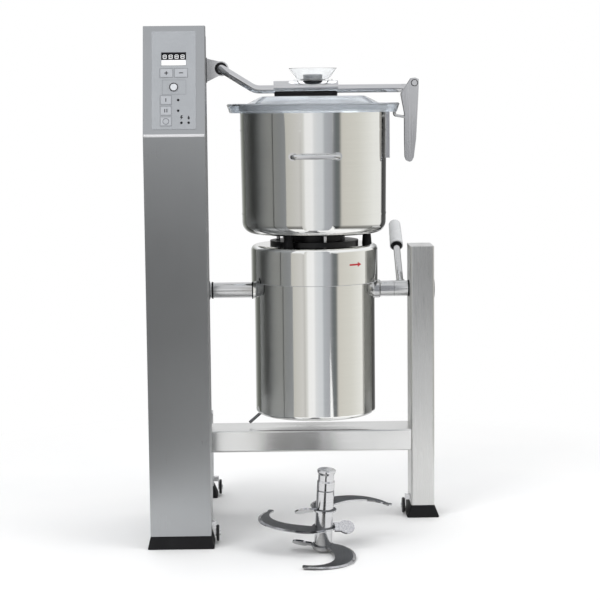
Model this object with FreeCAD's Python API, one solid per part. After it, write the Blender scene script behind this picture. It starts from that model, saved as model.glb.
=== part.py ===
import FreeCAD, Part
import math
import os

# Tilting bowl cutter on three feet: a control column on the left, a post on the right and a
# crossbar between them carry two trunnions. The motor drum hangs on the trunnions with the
# bowl on top of it, a lid swings on an arm from the column, and the knife assembly is lifted
# out and stands on the floor in front.
# Millimetres. X runs to the right, Y to the back and Z up. The model is laid out from the
# bowl's axis on the floor and is moved at the end to the middle of its own footprint.

V = FreeCAD.Vector

# General fits
RUN = 0.3             # running clearance between moving faces
SHEET = 2.0           # stainless sheet of covers
TUBE_WALL = 3.0       # wall of the frame's rectangular tubes
CORNER = 5.0          # outer corner radius of the frame's tubes

# Column
FOOT_H = 31.0
COLUMN_H = 1250.0
CASING_W = 146.0
CASING_SIDE_X = -263.0
CASING_FRONT_Y = -356.0
CASING_DEPTH = 136.0
BEND_Z = 992.0
HEAD_LEAN = 75.0
SPINE_W = 120.0
SPINE_STEP = 9.0
SPINE_BACK_Y = 60.0
SPINE_DROP = 14.0
SERVICE_Z = (240.0, 1010.0)
SERVICE_MARGIN = 8.0
SERVICE_LIP = 12.0
GLAND_Z = 110.0
GLAND_R = 14.0
GLAND_BORE_R = 6.0

# Frame
AXLE_Z = 588.0
BEAM_D = 120.0
BEAM_Z = 175.0
BEAM_H = 56.0
POST_X = 243.0
POST_W = 60.0
POST_H = 700.0
LEG_X = -335.0
LEG_W = 60.0
LEG_Y = 198.0
FOOT_FLARE = 11.0
FRONT_FOOT_FLARE = 7.0
FOOT_LIP = 3.0
FOOT_CORNER = 5.0
FRONT_FOOT_D = 86.0

# Control panel, in the plane of the sloped head: x across, y up the slope from the bend
PLATE_W = 104.0
PLATE_H = 240.0
PLATE_T = 1.5
PLATE_FROM_BEND = 15.0
CUTOUT_MARGIN = 6.0
KEY_PROUD = 0.9
KEY_EDGE = 0.4
KEY_TRAVEL = 1.0
KEY_FLANGE = 1.6
KEY_FLANGE_T = 2.2
KEY_STEM = 8.0
KEY_CORNER = 2.0
SMALL_KEY = (25.0, 20.0)
WIDE_KEY = (29.0, 20.0)
STOP_KEY_D = 23.0
BOARD_DEPTH = 16.0
BOARD_T = 1.6
BOARD_INSET = 4.0
KEY_PLACES = {
    "key_plus": (-17.3, 152.0, WIDE_KEY),
    "key_minus": (17.3, 152.0, WIDE_KEY),
    "key_stop": (0.0, 117.5, STOP_KEY_D),
    "key_one": (-18.5, 86.0, SMALL_KEY),
    "key_two": (-18.5, 60.0, SMALL_KEY),
    "key_pulse": (-18.5, 34.0, SMALL_KEY),
}
DISPLAY_W = 59.0
DISPLAY_H = 33.0
DISPLAY_Y = 186.5
LED_D = 4.5
LED_PLACES = [(10.5, 86.0), (10.5, 60.0), (18.0, 30.5), (35.0, 30.5)]

# Motor drum
CAP_R = 162.0
CAP_Z = 612.0
CAP_H = 94.0
CAP_EDGE = 14.0
CAP_WALL = 4.0
CAP_LAP = 12.0
BOSS_GAP = 0.3
CAP_PLATE = 8.0
DRUM_R = 154.0
DRUM_Z = 270.0
DRUM_WALL = 3.0
DRUM_CORNER = 10.0
DRUM_LIP = 14.0
COVER_T = 4.0
COVER_BOSS_R = 34.0
COVER_BOSS_H = 30.0
SPOUT_R = 4.0
SPOUT_BORE = 2.5
SPOUT_REACH = 172.0
SPOUT_DROP = 28.0

# Motor
FRAME_R = 108.0
FRAME_WALL = 8.0
FRAME_FLANGE_R = 140.0
FRAME_PLATE = 16.0
FRAME_Z = 330.0
STATOR_BORE = 62.0
STATOR_Z = (380.0, 530.0)
WINDING_H = 24.0
WINDING_WALL = 26.0
AIR_GAP = 0.7
SHAFT_R = 17.0
SHAFT_BODY_R = 23.0
SHAFT_TOP_R = 14.0
SHAFT_FLAT = 11.0
SHAFT_TOP = 890.0
UPPER_BEARING_R = 31.0
LOWER_BEARING_R = 26.0
LOWER_JOURNAL_R = 12.5
BEARING_W = 16.0

# Trunnions
TUBE_R = 20.0
TUBE_BORE = 15.0
TUBE_END_X = -132.0
TUBE_FLANGE_R = 40.0
TUBE_FLANGE_T = 6.0
BOSS_OUT = 4.0
BOSS_IN = 26.0
BUSH_WALL = 2.0
SEAL_T = 3.0
SEAL_PROUD = 3.0
AXLE_R = 15.0
AXLE_IN_X = 118.0
RIGHT_BOSS_R = 23.5
RIGHT_BOSS_X = 169.0
RIGHT_BOSS_CHAMFER = 3.0
COLLAR_SPLIT_X = 203.5
SPLIT_GAP = 0.8
GASKET_T = 3.5
BEARING_TUBE_R = 25.0
BUSH_R = 19.0
BUSH_L = 18.0
END_CAP_R = 29.0
END_CAP_T = 4.0
END_CAP_EDGE = 1.2

# Tilt lever
LEVER_LEAN = 55.0
LEVER_R = 9.0
LEVER_SEAT = 8.0
LEVER_END = 196.0
GRIP_FROM = 172.0
GRIP_TO = 268.0
GRIP_R = 17.5
GRIP_TIP_R = 15.5
GRIP_WALL = 3.0
GRIP_NOSE = 7.0

# Bayonet under the bowl
COLLAR_R = 78.5
PLATE_R = 113.0
PLATE_TH = 10.0
PIN_PCD_R = 95.0
PIN_R = 4.5
PIN_HEAD_R = 7.0
PIN_HEAD_H = 3.6
PIN_ANGLES = (-75.0, 45.0, 165.0)
TWIST = 20.0
REST_R = 135.0
REST_FOOT_R = 12.5
REST_TOP_R = 10.0
REST_ANGLES = (0.0, 120.0, 240.0)

# Bowl
BOWL_LIFT = 29.0
BOWL_H = 313.0
BOWL_R = 183.5
BOWL_FLARE = 3.0
BOWL_CORNER = 29.0
BOWL_WALL = 2.5
RIM_R = 2.2
CHIMNEY_R = 25.5
CHIMNEY_H = 42.0
BAND_UP = (50.0, 262.0)
BAND_PROUD = 0.7
BAND_H = 4.0
HANDLE_UP = 199.0
HANDLE_W = 112.0
HANDLE_R = 6.0
HANDLE_PROUD = 40.0
HANDLE_BEND = 12.0
HANDLE_FOOT_R = 10.0
CATCH_GAP = 7.5
CATCH_W = 30.0
CATCH_LOW = 124.0
CATCH_T = 3.0
CATCH_NOSE = 7.0
CATCH_NOSE_T = 7.0
CATCH_RISE = 9.0

# Lid
LID_BRIM_OUT = 33.5
LID_LIFT = 16.0
LID_T = 4.0
LID_SKIRT_DROP = 7.0
LID_SKIRT_OUT = 26.5
LID_DOME_IN = 18.5
LID_PLATEAU_IN = 54.5
LID_PLATEAU_RISE = 34.0
LID_EDGE = 3.0
LID_ROUND = 14.0
NOTCH_W = 38.0
SEAL_IN = 5.0
SEAL_W = 8.0

# Lid arm
ARM_PIVOT_X = -233.5
ARM_PIVOT_RISE = 54.0
ARM_R = 10.5
ARM_WALL = 2.0
SLEEVE_LIFT = 7.0
SLEEVE_RISE = 5.0
ARM_SLOPE = 32.0
ARM_END_X = 229.0
ARM_BEND = 45.0
ARM_PIVOT_BEND = 28.0
BRACKET_Y = (30.0, 58.0)
BRACKET_R = 19.0
BRACKET_LOW = 33.0
BRACKET_HIGH = 26.0
ARM_BUSH_R = 14.5
BUSH_FLANGE = 1.5
BUSH_FLANGE_T = 2.0
RETAINER_R = 15.0
RETAINER_T = 8.0
SLEEVE_R = 16.0
SLEEVE_X = (-100.0, 64.0)
SADDLE_X = (-98.0, 62.0)
SADDLE_W = 26.0
SADDLE_H = 10.5

# Funnel knob and wiper
SPINDLE_R = 5.0
KNOB_BASE_R = 50.0
KNOB_BASE_T = 3.0
KNOB_FOOT_R = 40.0
KNOB_TOP_R = 61.5
KNOB_H = 31.0
KNOB_WALL = 3.0
CORE_R = 25.0
CORE_H = 16.0
WIPER_L = 136.0
WIPER_W = 14.0
WIPER_T = 7.0
WIPER_LIP = 3.0
WIPER_HUB_R = 13.0

# Latch lever
LATCH_X = 257.5
LATCH_RISE = 13.0
LATCH_W = 30.0
LATCH_T = 2.0
LATCH_L = 200.0
LATCH_PIN_R = 5.0
CLEVIS_W = 18.0
CLEVIS_EAR_R = 7.5
BAIL_R = 3.5
BAIL_W = 18.0
BAIL_PIN_BACK = 8.5
BAIL_PIN_DROP = 24.0
BAIL_OUT = 20.3
BAIL_DROP = 7.0
BAIL_RISE = 9.5
BAIL_BEND = 4.5
BAIL_PIN_R = 4.0

# Knife assembly
KNIFE_X = 4.0
KNIFE_Y = -396.0
KNIFE_H = 196.0
KNIFE_HUB_R = 19.0
KNIFE_SLEEVE_R = 21.0
KNIFE_BORE_R = 14.4
KNIFE_CAP_R = 22.0
BLADE_T = 4.0
BLADE_R = 175.0
BLADE_RING_R = 28.0
BLADE_Z = (6.0, 51.0, 95.0)
BLADE_TIP_ANGLE = (254.0, 138.0, 20.0)
BLADE_BEVEL = (2.6, 7.0)
PADDLE_ANGLE = (165.0, 8.0, 200.0)
PADDLE_L = 75.0
PADDLE_W = 40.0
PADDLE_NECK = 26.0
PADDLE_PITCH = 32.0
KNIFE_LEAN_FRONT = 4.0
KNIFE_LEAN_RIGHT = 3.0

# Transport wheels
WHEEL_R = 20.0
WHEEL_W = 7.0
WHEEL_Z = 23.5
WHEEL_EDGE = 1.5
WHEEL_AXLE_R = 3.0
BRACKET_T = 2.0
WHEEL_GAP = 0.8
BRACKET_TOP = 52.0

# Worked out from the sizes above
CASING_X = CASING_SIDE_X - CASING_W
CASING_MID_X = CASING_SIDE_X - CASING_W / 2
CASING_BACK_Y = CASING_FRONT_Y + CASING_DEPTH
SPINE_X = CASING_SIDE_X - SPINE_STEP
SPINE_LEFT_X = SPINE_X - SPINE_W
SPINE_TOP = COLUMN_H - SPINE_DROP
BEAM_Y = BEAM_D / 2
POST_RIGHT_X = POST_X + POST_W
LEAN = math.degrees(math.atan2(HEAD_LEAN, COLUMN_H - BEND_Z))
CAP_TOP = CAP_Z + CAP_H
BOSS_R = CAP_Z - AXLE_Z - BOSS_GAP
COLLAR_END_X = POST_X - GASKET_T - RUN
LEVER_X = (COLLAR_SPLIT_X + COLLAR_END_X) / 2
BOWL_Z = CAP_TOP + BOWL_LIFT
BOWL_TOP = BOWL_Z + BOWL_H
BOWL_TOP_R = BOWL_R + BOWL_FLARE
BAND_Z = [BOWL_Z + up for up in BAND_UP]
HANDLE_Z = BOWL_Z + HANDLE_UP
COLLAR_TOP = BOWL_Z - RUN
CATCH_X = BOWL_TOP_R + CATCH_GAP
CATCH_BOTTOM = BOWL_TOP - CATCH_LOW
CATCH_TOP = BOWL_TOP + CATCH_RISE
LID_TOP = BOWL_TOP + LID_LIFT
LID_SKIRT_Z = BOWL_TOP - LID_SKIRT_DROP
LID_BRIM_R = BOWL_TOP_R + LID_BRIM_OUT
LID_SKIRT_R = BOWL_TOP_R + LID_SKIRT_OUT
LID_DOME_R = BOWL_TOP_R - LID_DOME_IN
LID_PLATEAU_R = BOWL_TOP_R - LID_PLATEAU_IN
LID_PLATEAU_Z = BOWL_TOP + LID_PLATEAU_RISE
LID_UNDER = LID_PLATEAU_Z - LID_T
SEAL_R = BOWL_TOP_R - SEAL_IN
SLEEVE_Z = LID_PLATEAU_Z + SLEEVE_LIFT + SLEEVE_R
SLEEVE_TOP = SLEEVE_Z + SLEEVE_R
ARM_Z = SLEEVE_Z - SLEEVE_RISE
ARM_PIVOT_Z = ARM_Z + ARM_PIVOT_RISE
BRACKET_Z = (ARM_PIVOT_Z - BRACKET_LOW, ARM_PIVOT_Z + BRACKET_HIGH)
KNOB_Z = SLEEVE_TOP + RUN
LATCH_Z = ARM_Z + LATCH_RISE
LATCH_BOTTOM = LATCH_Z - LATCH_L
BAIL_X = BOWL_TOP_R + BAIL_OUT
BAIL_Z = BOWL_TOP - BAIL_DROP
BAIL_PIN_X = LATCH_X - BAIL_PIN_BACK
BAIL_PIN_Z = BOWL_TOP - BAIL_PIN_DROP
KNIFE_SPOT = V(KNIFE_X, KNIFE_Y, 0)


def box(x0, x1, y0, y1, z0, z1):
    return Part.makeBox(x1 - x0, y1 - y0, z1 - z0, V(x0, y0, z0))


def upright(radius, z0, z1, x=0.0, y=0.0):
    return Part.makeCylinder(radius, z1 - z0, V(x, y, z0), V(0, 0, 1))


def along_x(radius, x0, x1, y=0.0, z=AXLE_Z):
    return Part.makeCylinder(radius, x1 - x0, V(x0, y, z), V(1, 0, 0))


def along_y(radius, y0, y1, x, z):
    return Part.makeCylinder(radius, y1 - y0, V(x, y0, z), V(0, 1, 0))


def turned(profile):
    """Solid of revolution about Z from a closed list of (radius, height) points."""
    points = [V(r, 0, z) for r, z in profile]
    face = Part.Face(Part.makePolygon(points + [points[0]]))
    return face.revolve(V(0, 0, 0), V(0, 0, 1), 360)


def side_plate(outline, y0, y1):
    """Plate with an (x, z) outline, standing between two depths."""
    points = [V(x, y0, z) for x, z in outline]
    face = Part.Face(Part.makePolygon(points + [points[0]]))
    return face.extrude(V(0, y1 - y0, 0))


def round_edges(shape, radius, wanted):
    """Fillet the edges that the test picks."""
    edges = [edge for edge in shape.Edges if wanted(edge)]
    return shape.makeFillet(radius, edges) if edges else shape


def bevel_edges(shape, size, wanted):
    """Chamfer the edges that the test picks."""
    return shape.makeChamfer(size, [edge for edge in shape.Edges if wanted(edge)])


def is_upright(edge):
    box_of_edge = edge.BoundBox
    return box_of_edge.XLength < 0.01 and box_of_edge.YLength < 0.01


def is_along_x(edge):
    box_of_edge = edge.BoundBox
    return box_of_edge.YLength < 0.01 and box_of_edge.ZLength < 0.01


def is_along_y(edge):
    box_of_edge = edge.BoundBox
    return box_of_edge.XLength < 0.01 and box_of_edge.ZLength < 0.01


def bent_rod(points, bends, radius):
    """Round bar along straight runs joined by tangent arcs, one bend radius per inner point."""
    edges = []
    start = points[0]
    for corner, after, bend in zip(points[1:-1], points[2:], bends):
        incoming = (corner - start).normalize()
        outgoing = (after - corner).normalize()
        half_turn = incoming.getAngle(outgoing) / 2
        reach = bend * math.tan(half_turn)
        arc_start = corner - incoming * reach
        arc_end = corner + outgoing * reach
        inward = (outgoing - incoming).normalize()
        centre = corner + inward * (bend / math.cos(half_turn))
        arc_middle = centre - inward * bend
        edges.append(Part.LineSegment(start, arc_start).toShape())
        edges.append(Part.Arc(arc_start, arc_middle, arc_end).toShape())
        start = arc_end
    edges.append(Part.LineSegment(start, points[-1]).toShape())
    path = Part.Wire(edges)
    heading = (points[1] - points[0]).normalize()
    ring = Part.Wire(Part.makeCircle(radius, points[0], heading))
    return path.makePipeShell([ring], True, False)


def box_tube(x0, x1, y0, y1, z0, z1, wall, axis):
    """Rectangular tube with rounded long corners, open at both ends."""
    long_edge = {"x": is_along_x, "y": is_along_y, "z": is_upright}[axis]
    outer = round_edges(box(x0, x1, y0, y1, z0, z1), CORNER, long_edge)
    grow = [wall, wall, wall]
    grow["xyz".index(axis)] = 0.0
    inner = box(x0 + grow[0], x1 - grow[0], y0 + grow[1], y1 - grow[1], z0 + grow[2], z1 - grow[2])
    inner = round_edges(inner, CORNER - wall, long_edge)
    return outer.cut(inner)


def on_panel(shape):
    """Move a piece from panel coordinates onto the sloped head."""
    turn = FreeCAD.Rotation(V(1, 0, 0), 90 - LEAN)
    placed = shape.copy()
    placed.Placement = FreeCAD.Placement(V(CASING_MID_X, CASING_FRONT_Y, BEND_Z), turn)
    return placed


def around_axis(shape, angle):
    turned_copy = shape.copy()
    turned_copy.rotate(V(0, 0, 0), V(0, 0, 1), angle)
    return turned_copy


def group(shapes):
    return Part.makeCompound(shapes)


# Control column

def column_casing():
    """Folded front hood: plain up to the bend, then leaning back to the top."""
    def outline(inset):
        lean = math.tan(math.radians(LEAN))
        front = CASING_FRONT_Y + inset
        top = COLUMN_H - inset
        return [
            V(0, front, FOOT_H + inset),
            V(0, front, BEND_Z - inset * math.tan(math.radians(LEAN / 2))),
            V(0, front + (top - BEND_Z) * lean + inset * (1 / math.cos(math.radians(LEAN)) - 1), top),
            V(0, CASING_BACK_Y - inset, top),
            V(0, CASING_BACK_Y - inset, FOOT_H + inset),
        ]
    outer_points = [p + V(CASING_X, 0, 0) for p in outline(0.0)]
    outer = Part.Face(Part.makePolygon(outer_points + [outer_points[0]])).extrude(V(CASING_W, 0, 0))
    inner_points = [p + V(CASING_X + SHEET, 0, 0) for p in outline(SHEET)]
    inner = Part.Face(Part.makePolygon(inner_points + [inner_points[0]]))
    inner = inner.extrude(V(CASING_W - 2 * SHEET, 0, 0))
    shell = outer.cut(inner)
    doorway = box(SPINE_LEFT_X + TUBE_WALL, SPINE_X - TUBE_WALL, CASING_BACK_Y - 2 * SHEET, CASING_BACK_Y + 1,
                  FOOT_H + TUBE_WALL, SPINE_TOP - TUBE_WALL)
    shell = shell.cut(doorway)
    window = box(-PLATE_W / 2 + CUTOUT_MARGIN, PLATE_W / 2 - CUTOUT_MARGIN,
                 PLATE_FROM_BEND + CUTOUT_MARGIN, PLATE_FROM_BEND + PLATE_H - CUTOUT_MARGIN,
                 -2 * SHEET, SHEET)
    return shell.cut(on_panel(window))


def column_spine():
    """Welded rear box of the column; the trunnion, crossbar and lid arm are fixed to it."""
    outer = box(SPINE_LEFT_X, SPINE_X, CASING_BACK_Y, SPINE_BACK_Y, FOOT_H, SPINE_TOP)
    outer = round_edges(outer, CORNER, lambda e: is_upright(e) and e.BoundBox.YMin > SPINE_BACK_Y - 1)
    inner = box(SPINE_LEFT_X + TUBE_WALL, SPINE_X - TUBE_WALL, CASING_BACK_Y - 1, SPINE_BACK_Y - TUBE_WALL,
                FOOT_H + TUBE_WALL, SPINE_TOP - TUBE_WALL)
    shell = outer.cut(inner)
    hatch = box(SPINE_LEFT_X + SERVICE_MARGIN + SERVICE_LIP, SPINE_X - SERVICE_MARGIN - SERVICE_LIP,
                SPINE_BACK_Y - 2 * TUBE_WALL, SPINE_BACK_Y + 1,
                SERVICE_Z[0] + SERVICE_LIP, SERVICE_Z[1] - SERVICE_LIP)
    shell = shell.cut(hatch)
    return shell.cut(along_x(TUBE_R, SPINE_X - 2 * TUBE_WALL, SPINE_X + 1))


def rear_service_panel():
    """Screwed cover over the opening in the back of the column."""
    plate = box(SPINE_LEFT_X + SERVICE_MARGIN, SPINE_X - SERVICE_MARGIN,
                SPINE_BACK_Y, SPINE_BACK_Y + SHEET, SERVICE_Z[0], SERVICE_Z[1])
    plate = round_edges(plate, CORNER, is_along_y)
    slot_h = 3.0
    slot_pitch = 12.0
    slot_w = SPINE_W - 2 * SERVICE_MARGIN - 4 * SERVICE_LIP
    mid_x = (SPINE_LEFT_X + SPINE_X) / 2
    for row in range(8):
        z = SERVICE_Z[1] - 6 * SERVICE_LIP - row * slot_pitch
        slot = box(mid_x - slot_w / 2, mid_x + slot_w / 2, SPINE_BACK_Y - 1, SPINE_BACK_Y + SHEET + 1,
                   z, z + slot_h)
        plate = plate.cut(slot)
    return plate


def key_blank(size, grow, z0, z1):
    if isinstance(size, tuple):
        width, height = size[0] + 2 * grow, size[1] + 2 * grow
        blank = box(-width / 2, width / 2, -height / 2, height / 2, z0, z1)
        return round_edges(blank, KEY_CORNER + max(grow, 0), is_upright)
    return upright(size / 2 + grow, z0, z1)


def key(name):
    """Key cap with a flange behind the plate and a stem towards its switch."""
    x, y, size = KEY_PLACES[name]
    cap = key_blank(size, 0.0, -RUN - KEY_FLANGE_T, PLATE_T + KEY_PROUD)
    cap = bevel_edges(cap, KEY_EDGE, lambda e: e.BoundBox.ZMin > PLATE_T + KEY_PROUD - 0.01)
    flange = key_blank(size, KEY_FLANGE, -RUN - KEY_FLANGE_T, -RUN)
    stem_end = -BOARD_DEPTH + BOARD_T + 2 * KEY_TRAVEL
    stem = box(-KEY_STEM / 2, KEY_STEM / 2, -KEY_STEM / 2, KEY_STEM / 2, stem_end, -RUN - KEY_FLANGE_T)
    solid = cap.fuse(flange).fuse(stem)
    solid.translate(V(x, y, 0))
    return on_panel(solid.removeSplitter())


def control_plate():
    """Overlay plate on the sloped head, pierced for the keys, the display and the lamps."""
    plate = box(-PLATE_W / 2, PLATE_W / 2, PLATE_FROM_BEND, PLATE_FROM_BEND + PLATE_H, 0, PLATE_T)
    plate = round_edges(plate, KEY_CORNER, is_upright)
    for x, y, size in KEY_PLACES.values():
        hole = key_blank(size, RUN, -1, PLATE_T + 1)
        hole.translate(V(x, y, 0))
        plate = plate.cut(hole)
    plate = plate.cut(box(-DISPLAY_W / 2, DISPLAY_W / 2, DISPLAY_Y - DISPLAY_H / 2, DISPLAY_Y + DISPLAY_H / 2,
                          -1, PLATE_T + 1))
    for x, y in LED_PLACES:
        plate = plate.cut(upright(LED_D / 2, -1, PLATE_T + 1, x, y))
    return on_panel(plate)


def panel_lenses():
    """Display window and the four lamp lenses."""
    shapes = [box(-DISPLAY_W / 2, DISPLAY_W / 2, DISPLAY_Y - DISPLAY_H / 2, DISPLAY_Y + DISPLAY_H / 2,
                  -SHEET, PLATE_T - 0.3)]
    for x, y in LED_PLACES:
        lens = upright(LED_D / 2, -SHEET, PLATE_T + 0.6, x, y)
        shapes.append(bevel_edges(lens, KEY_EDGE, lambda e: e.BoundBox.ZMin > PLATE_T + 0.5))
    return on_panel(group(shapes))


def control_board():
    """Circuit board on four pillars behind the panel, with a switch under each key."""
    half_w = PLATE_W / 2 - BOARD_INSET
    y0 = PLATE_FROM_BEND + BOARD_INSET
    y1 = PLATE_FROM_BEND + PLATE_H - BOARD_INSET
    board = box(-half_w, half_w, y0, y1, -BOARD_DEPTH, -BOARD_DEPTH + BOARD_T)
    pillar_r = 2.5
    inset = pillar_r / 2
    for x in (-half_w + inset, half_w - inset):
        for y in (y0 + 8 * inset, y1 - 8 * inset):
            board = board.fuse(upright(pillar_r, -BOARD_DEPTH + BOARD_T, -SHEET, x, y))
    for x, y, size in KEY_PLACES.values():
        switch = box(-KEY_STEM / 2, KEY_STEM / 2, -KEY_STEM / 2, KEY_STEM / 2,
                     -BOARD_DEPTH + BOARD_T, -BOARD_DEPTH + BOARD_T + KEY_TRAVEL - RUN)
        switch.translate(V(x, y, 0))
        board = board.fuse(switch)
    return on_panel(board)


def motor_controller():
    """Speed drive of the motor, with cooling fins, fixed to the left wall of the column."""
    x0 = SPINE_LEFT_X + TUBE_WALL
    body_w = 62.0
    fin_w = 24.0
    fin_t = 3.0
    y0, y1 = -150.0, 10.0
    z0, z1 = 700.0, 930.0
    body = box(x0 + fin_w, x0 + fin_w + body_w, y0, y1, z0, z1)
    fin_pitch = 16.0
    count = int((y1 - y0 - fin_t) / fin_pitch) + 1
    for i in range(count):
        y = y0 + i * fin_pitch
        body = body.fuse(box(x0, x0 + fin_w, y, y + fin_t, z0, z1))
    return body


def cable_gland():
    """Round inlet for the mains cable, low on the back of the column."""
    x = (SPINE_LEFT_X + SPINE_X) / 2
    nut = along_y(GLAND_R, SPINE_BACK_Y, SPINE_BACK_Y + 8, x, GLAND_Z)
    dome = Part.makeCone(GLAND_R - 2, GLAND_R - 5, 12, V(x, SPINE_BACK_Y + 8, GLAND_Z), V(0, 1, 0))
    bore = along_y(GLAND_BORE_R, SPINE_BACK_Y + 2, SPINE_BACK_Y + 21, x, GLAND_Z)
    return nut.fuse(dome).cut(bore).removeSplitter()


# Frame

def crossbar():
    return box_tube(SPINE_X, POST_X, -BEAM_Y, BEAM_Y, BEAM_Z, BEAM_Z + BEAM_H, TUBE_WALL, "x")


def right_post():
    """Post with a welded top plate and the tube that holds the right-hand bearing."""
    post = box_tube(POST_X, POST_RIGHT_X, -BEAM_Y, BEAM_Y, FOOT_H, POST_H, TUBE_WALL, "z")
    lid = box(POST_X + TUBE_WALL, POST_RIGHT_X - TUBE_WALL, -BEAM_Y + TUBE_WALL, BEAM_Y - TUBE_WALL,
              POST_H - TUBE_WALL, POST_H)
    lid = round_edges(lid, CORNER - TUBE_WALL, is_upright)
    post = post.fuse(lid)
    post = post.fuse(along_x(BEARING_TUBE_R, POST_X, POST_RIGHT_X))
    post = post.cut(along_x(BUSH_R, POST_X - 1, POST_RIGHT_X + 1))
    return post.removeSplitter()


def rear_leg():
    """Short beam out of the back of the column and the leg at its end, welded together."""
    x1 = LEG_X + LEG_W
    beam = box_tube(LEG_X, x1, SPINE_BACK_Y, LEG_Y + TUBE_WALL, BEAM_Z, BEAM_Z + BEAM_H, TUBE_WALL, "y")
    leg = box_tube(LEG_X, x1, LEG_Y, LEG_Y + LEG_W, FOOT_H, BEAM_Z + BEAM_H, TUBE_WALL, "z")
    top = box(LEG_X + TUBE_WALL, x1 - TUBE_WALL, LEG_Y + TUBE_WALL, LEG_Y + LEG_W - TUBE_WALL,
              BEAM_Z + BEAM_H - TUBE_WALL, BEAM_Z + BEAM_H)
    return leg.fuse(beam).fuse(top).removeSplitter()


def rounded_outline(x0, x1, y0, y1, z, radius):
    """Closed wire of a rectangle with rounded corners, at one height."""
    corners = [(x1, y0, -1, 1), (x1, y1, -1, -1), (x0, y1, 1, -1), (x0, y0, 1, 1)]
    edges = []
    last = None
    first = None
    half = radius * math.sqrt(0.5)
    for index, (x, y, inward_x, inward_y) in enumerate(corners):
        centre = V(x + inward_x * radius, y + inward_y * radius, z)
        on_x = V(x, centre.y, z)
        on_y = V(centre.x, y, z)
        middle = V(centre.x - inward_x * half, centre.y - inward_y * half, z)
        start, end = (on_y, on_x) if index % 2 == 0 else (on_x, on_y)
        if last is not None:
            edges.append(Part.LineSegment(last, start).toShape())
        else:
            first = start
        edges.append(Part.Arc(start, middle, end).toShape())
        last = end
    edges.append(Part.LineSegment(last, first).toShape())
    return Part.Wire(edges)


def foot(x0, x1, y0, y1, flare_x, flare_y):
    """Rubber foot, wider on the floor than under the tube, with an upright lip at its base."""
    base = (x0 - flare_x, x1 + flare_x, y0 - flare_y, y1 + flare_y)
    floor_line = rounded_outline(*base, 0.0, FOOT_CORNER)
    lip_line = rounded_outline(*base, FOOT_LIP, FOOT_CORNER)
    top_line = rounded_outline(x0, x1, y0, y1, FOOT_H, FOOT_CORNER)
    lip = Part.Face(floor_line).extrude(V(0, 0, FOOT_LIP))
    body = Part.makeLoft([lip_line, top_line], True, True)
    return lip.fuse(body).removeSplitter()


def foot_pads():
    front = foot(CASING_X, CASING_SIDE_X, CASING_FRONT_Y + 2, CASING_FRONT_Y + FRONT_FOOT_D,
                 FRONT_FOOT_FLARE, FRONT_FOOT_FLARE)
    right = foot(POST_X, POST_RIGHT_X, -BEAM_Y, BEAM_Y, FOOT_FLARE, FRONT_FOOT_FLARE)
    rear = foot(LEG_X, LEG_X + LEG_W, LEG_Y, LEG_Y + LEG_W, FOOT_FLARE, FRONT_FOOT_FLARE)
    return group([front, right, rear])


WHEEL_SPOTS = {
    "front": (CASING_SIDE_X, 1.0, CASING_FRONT_Y + 62.0, FRONT_FOOT_FLARE),
    "right": (POST_X, -1.0, -22.0, FOOT_FLARE),
    "rear": (LEG_X + LEG_W, 1.0, LEG_Y + LEG_W / 2, FOOT_FLARE),
}


def wheel_span(name):
    """The two X limits of a transport wheel, clear of the foot beside it."""
    face_x, side, y, flare = WHEEL_SPOTS[name]
    near = face_x + side * (flare + BRACKET_T + 2 * WHEEL_GAP)
    far = near + side * WHEEL_W
    return min(near, far), max(near, far)


def transport_wheel(name):
    face_x, side, y, flare = WHEEL_SPOTS[name]
    x0, x1 = wheel_span(name)
    wheel = along_x(WHEEL_R, x0, x1, y, WHEEL_Z)
    wheel = bevel_edges(wheel, WHEEL_EDGE, lambda e: e.BoundBox.YLength > WHEEL_R)
    return wheel.cut(along_x(WHEEL_AXLE_R + RUN / 2, x0 - 1, x1 + 1, y, WHEEL_Z))


def wheel_bracket(name):
    """Flat arm off the frame with the stub axle that the wheel turns on."""
    face_x, side, y, flare = WHEEL_SPOTS[name]
    x0, x1 = wheel_span(name)
    inner = x0 if side > 0 else x1
    outer = x1 if side > 0 else x0
    plate_x = sorted([inner - side * WHEEL_GAP, inner - side * (WHEEL_GAP + BRACKET_T)])
    top_r = 9.0
    low_r = 8.0
    outline = [(y - top_r, BRACKET_TOP), (y - low_r, WHEEL_Z), (y + low_r, WHEEL_Z), (y + top_r, BRACKET_TOP)]
    points = [V(plate_x[0], py, pz) for py, pz in outline]
    plate = Part.Face(Part.makePolygon(points + [points[0]])).extrude(V(BRACKET_T, 0, 0))
    plate = plate.fuse(along_x(low_r, plate_x[0], plate_x[1], y, WHEEL_Z))
    stay_x = sorted([face_x, plate_x[0] if side > 0 else plate_x[1]])
    stay = box(stay_x[0], stay_x[1], y - top_r, y + top_r, BRACKET_TOP - 12.0, BRACKET_TOP)
    axle_x = sorted([plate_x[0], outer + side * WHEEL_GAP])
    axle = along_x(WHEEL_AXLE_R, axle_x[0], axle_x[1], y, WHEEL_Z)
    head_x = sorted([outer + side * RUN, outer + side * 3.0])
    head = along_x(2 * WHEEL_AXLE_R, head_x[0], head_x[1], y, WHEEL_Z)
    return plate.fuse(stay).fuse(axle).fuse(head).removeSplitter()


# Trunnions, fixed side

def left_trunnion_tube():
    """Hollow trunnion that also brings the cables in, welded to a flange inside the column."""
    tube = along_x(TUBE_R, SPINE_X - TUBE_WALL - TUBE_FLANGE_T, TUBE_END_X)
    flange = along_x(TUBE_FLANGE_R, SPINE_X - TUBE_WALL - TUBE_FLANGE_T, SPINE_X - TUBE_WALL)
    bore = along_x(TUBE_BORE, SPINE_X - 100, TUBE_END_X + 1)
    return tube.fuse(flange).cut(bore)


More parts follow.
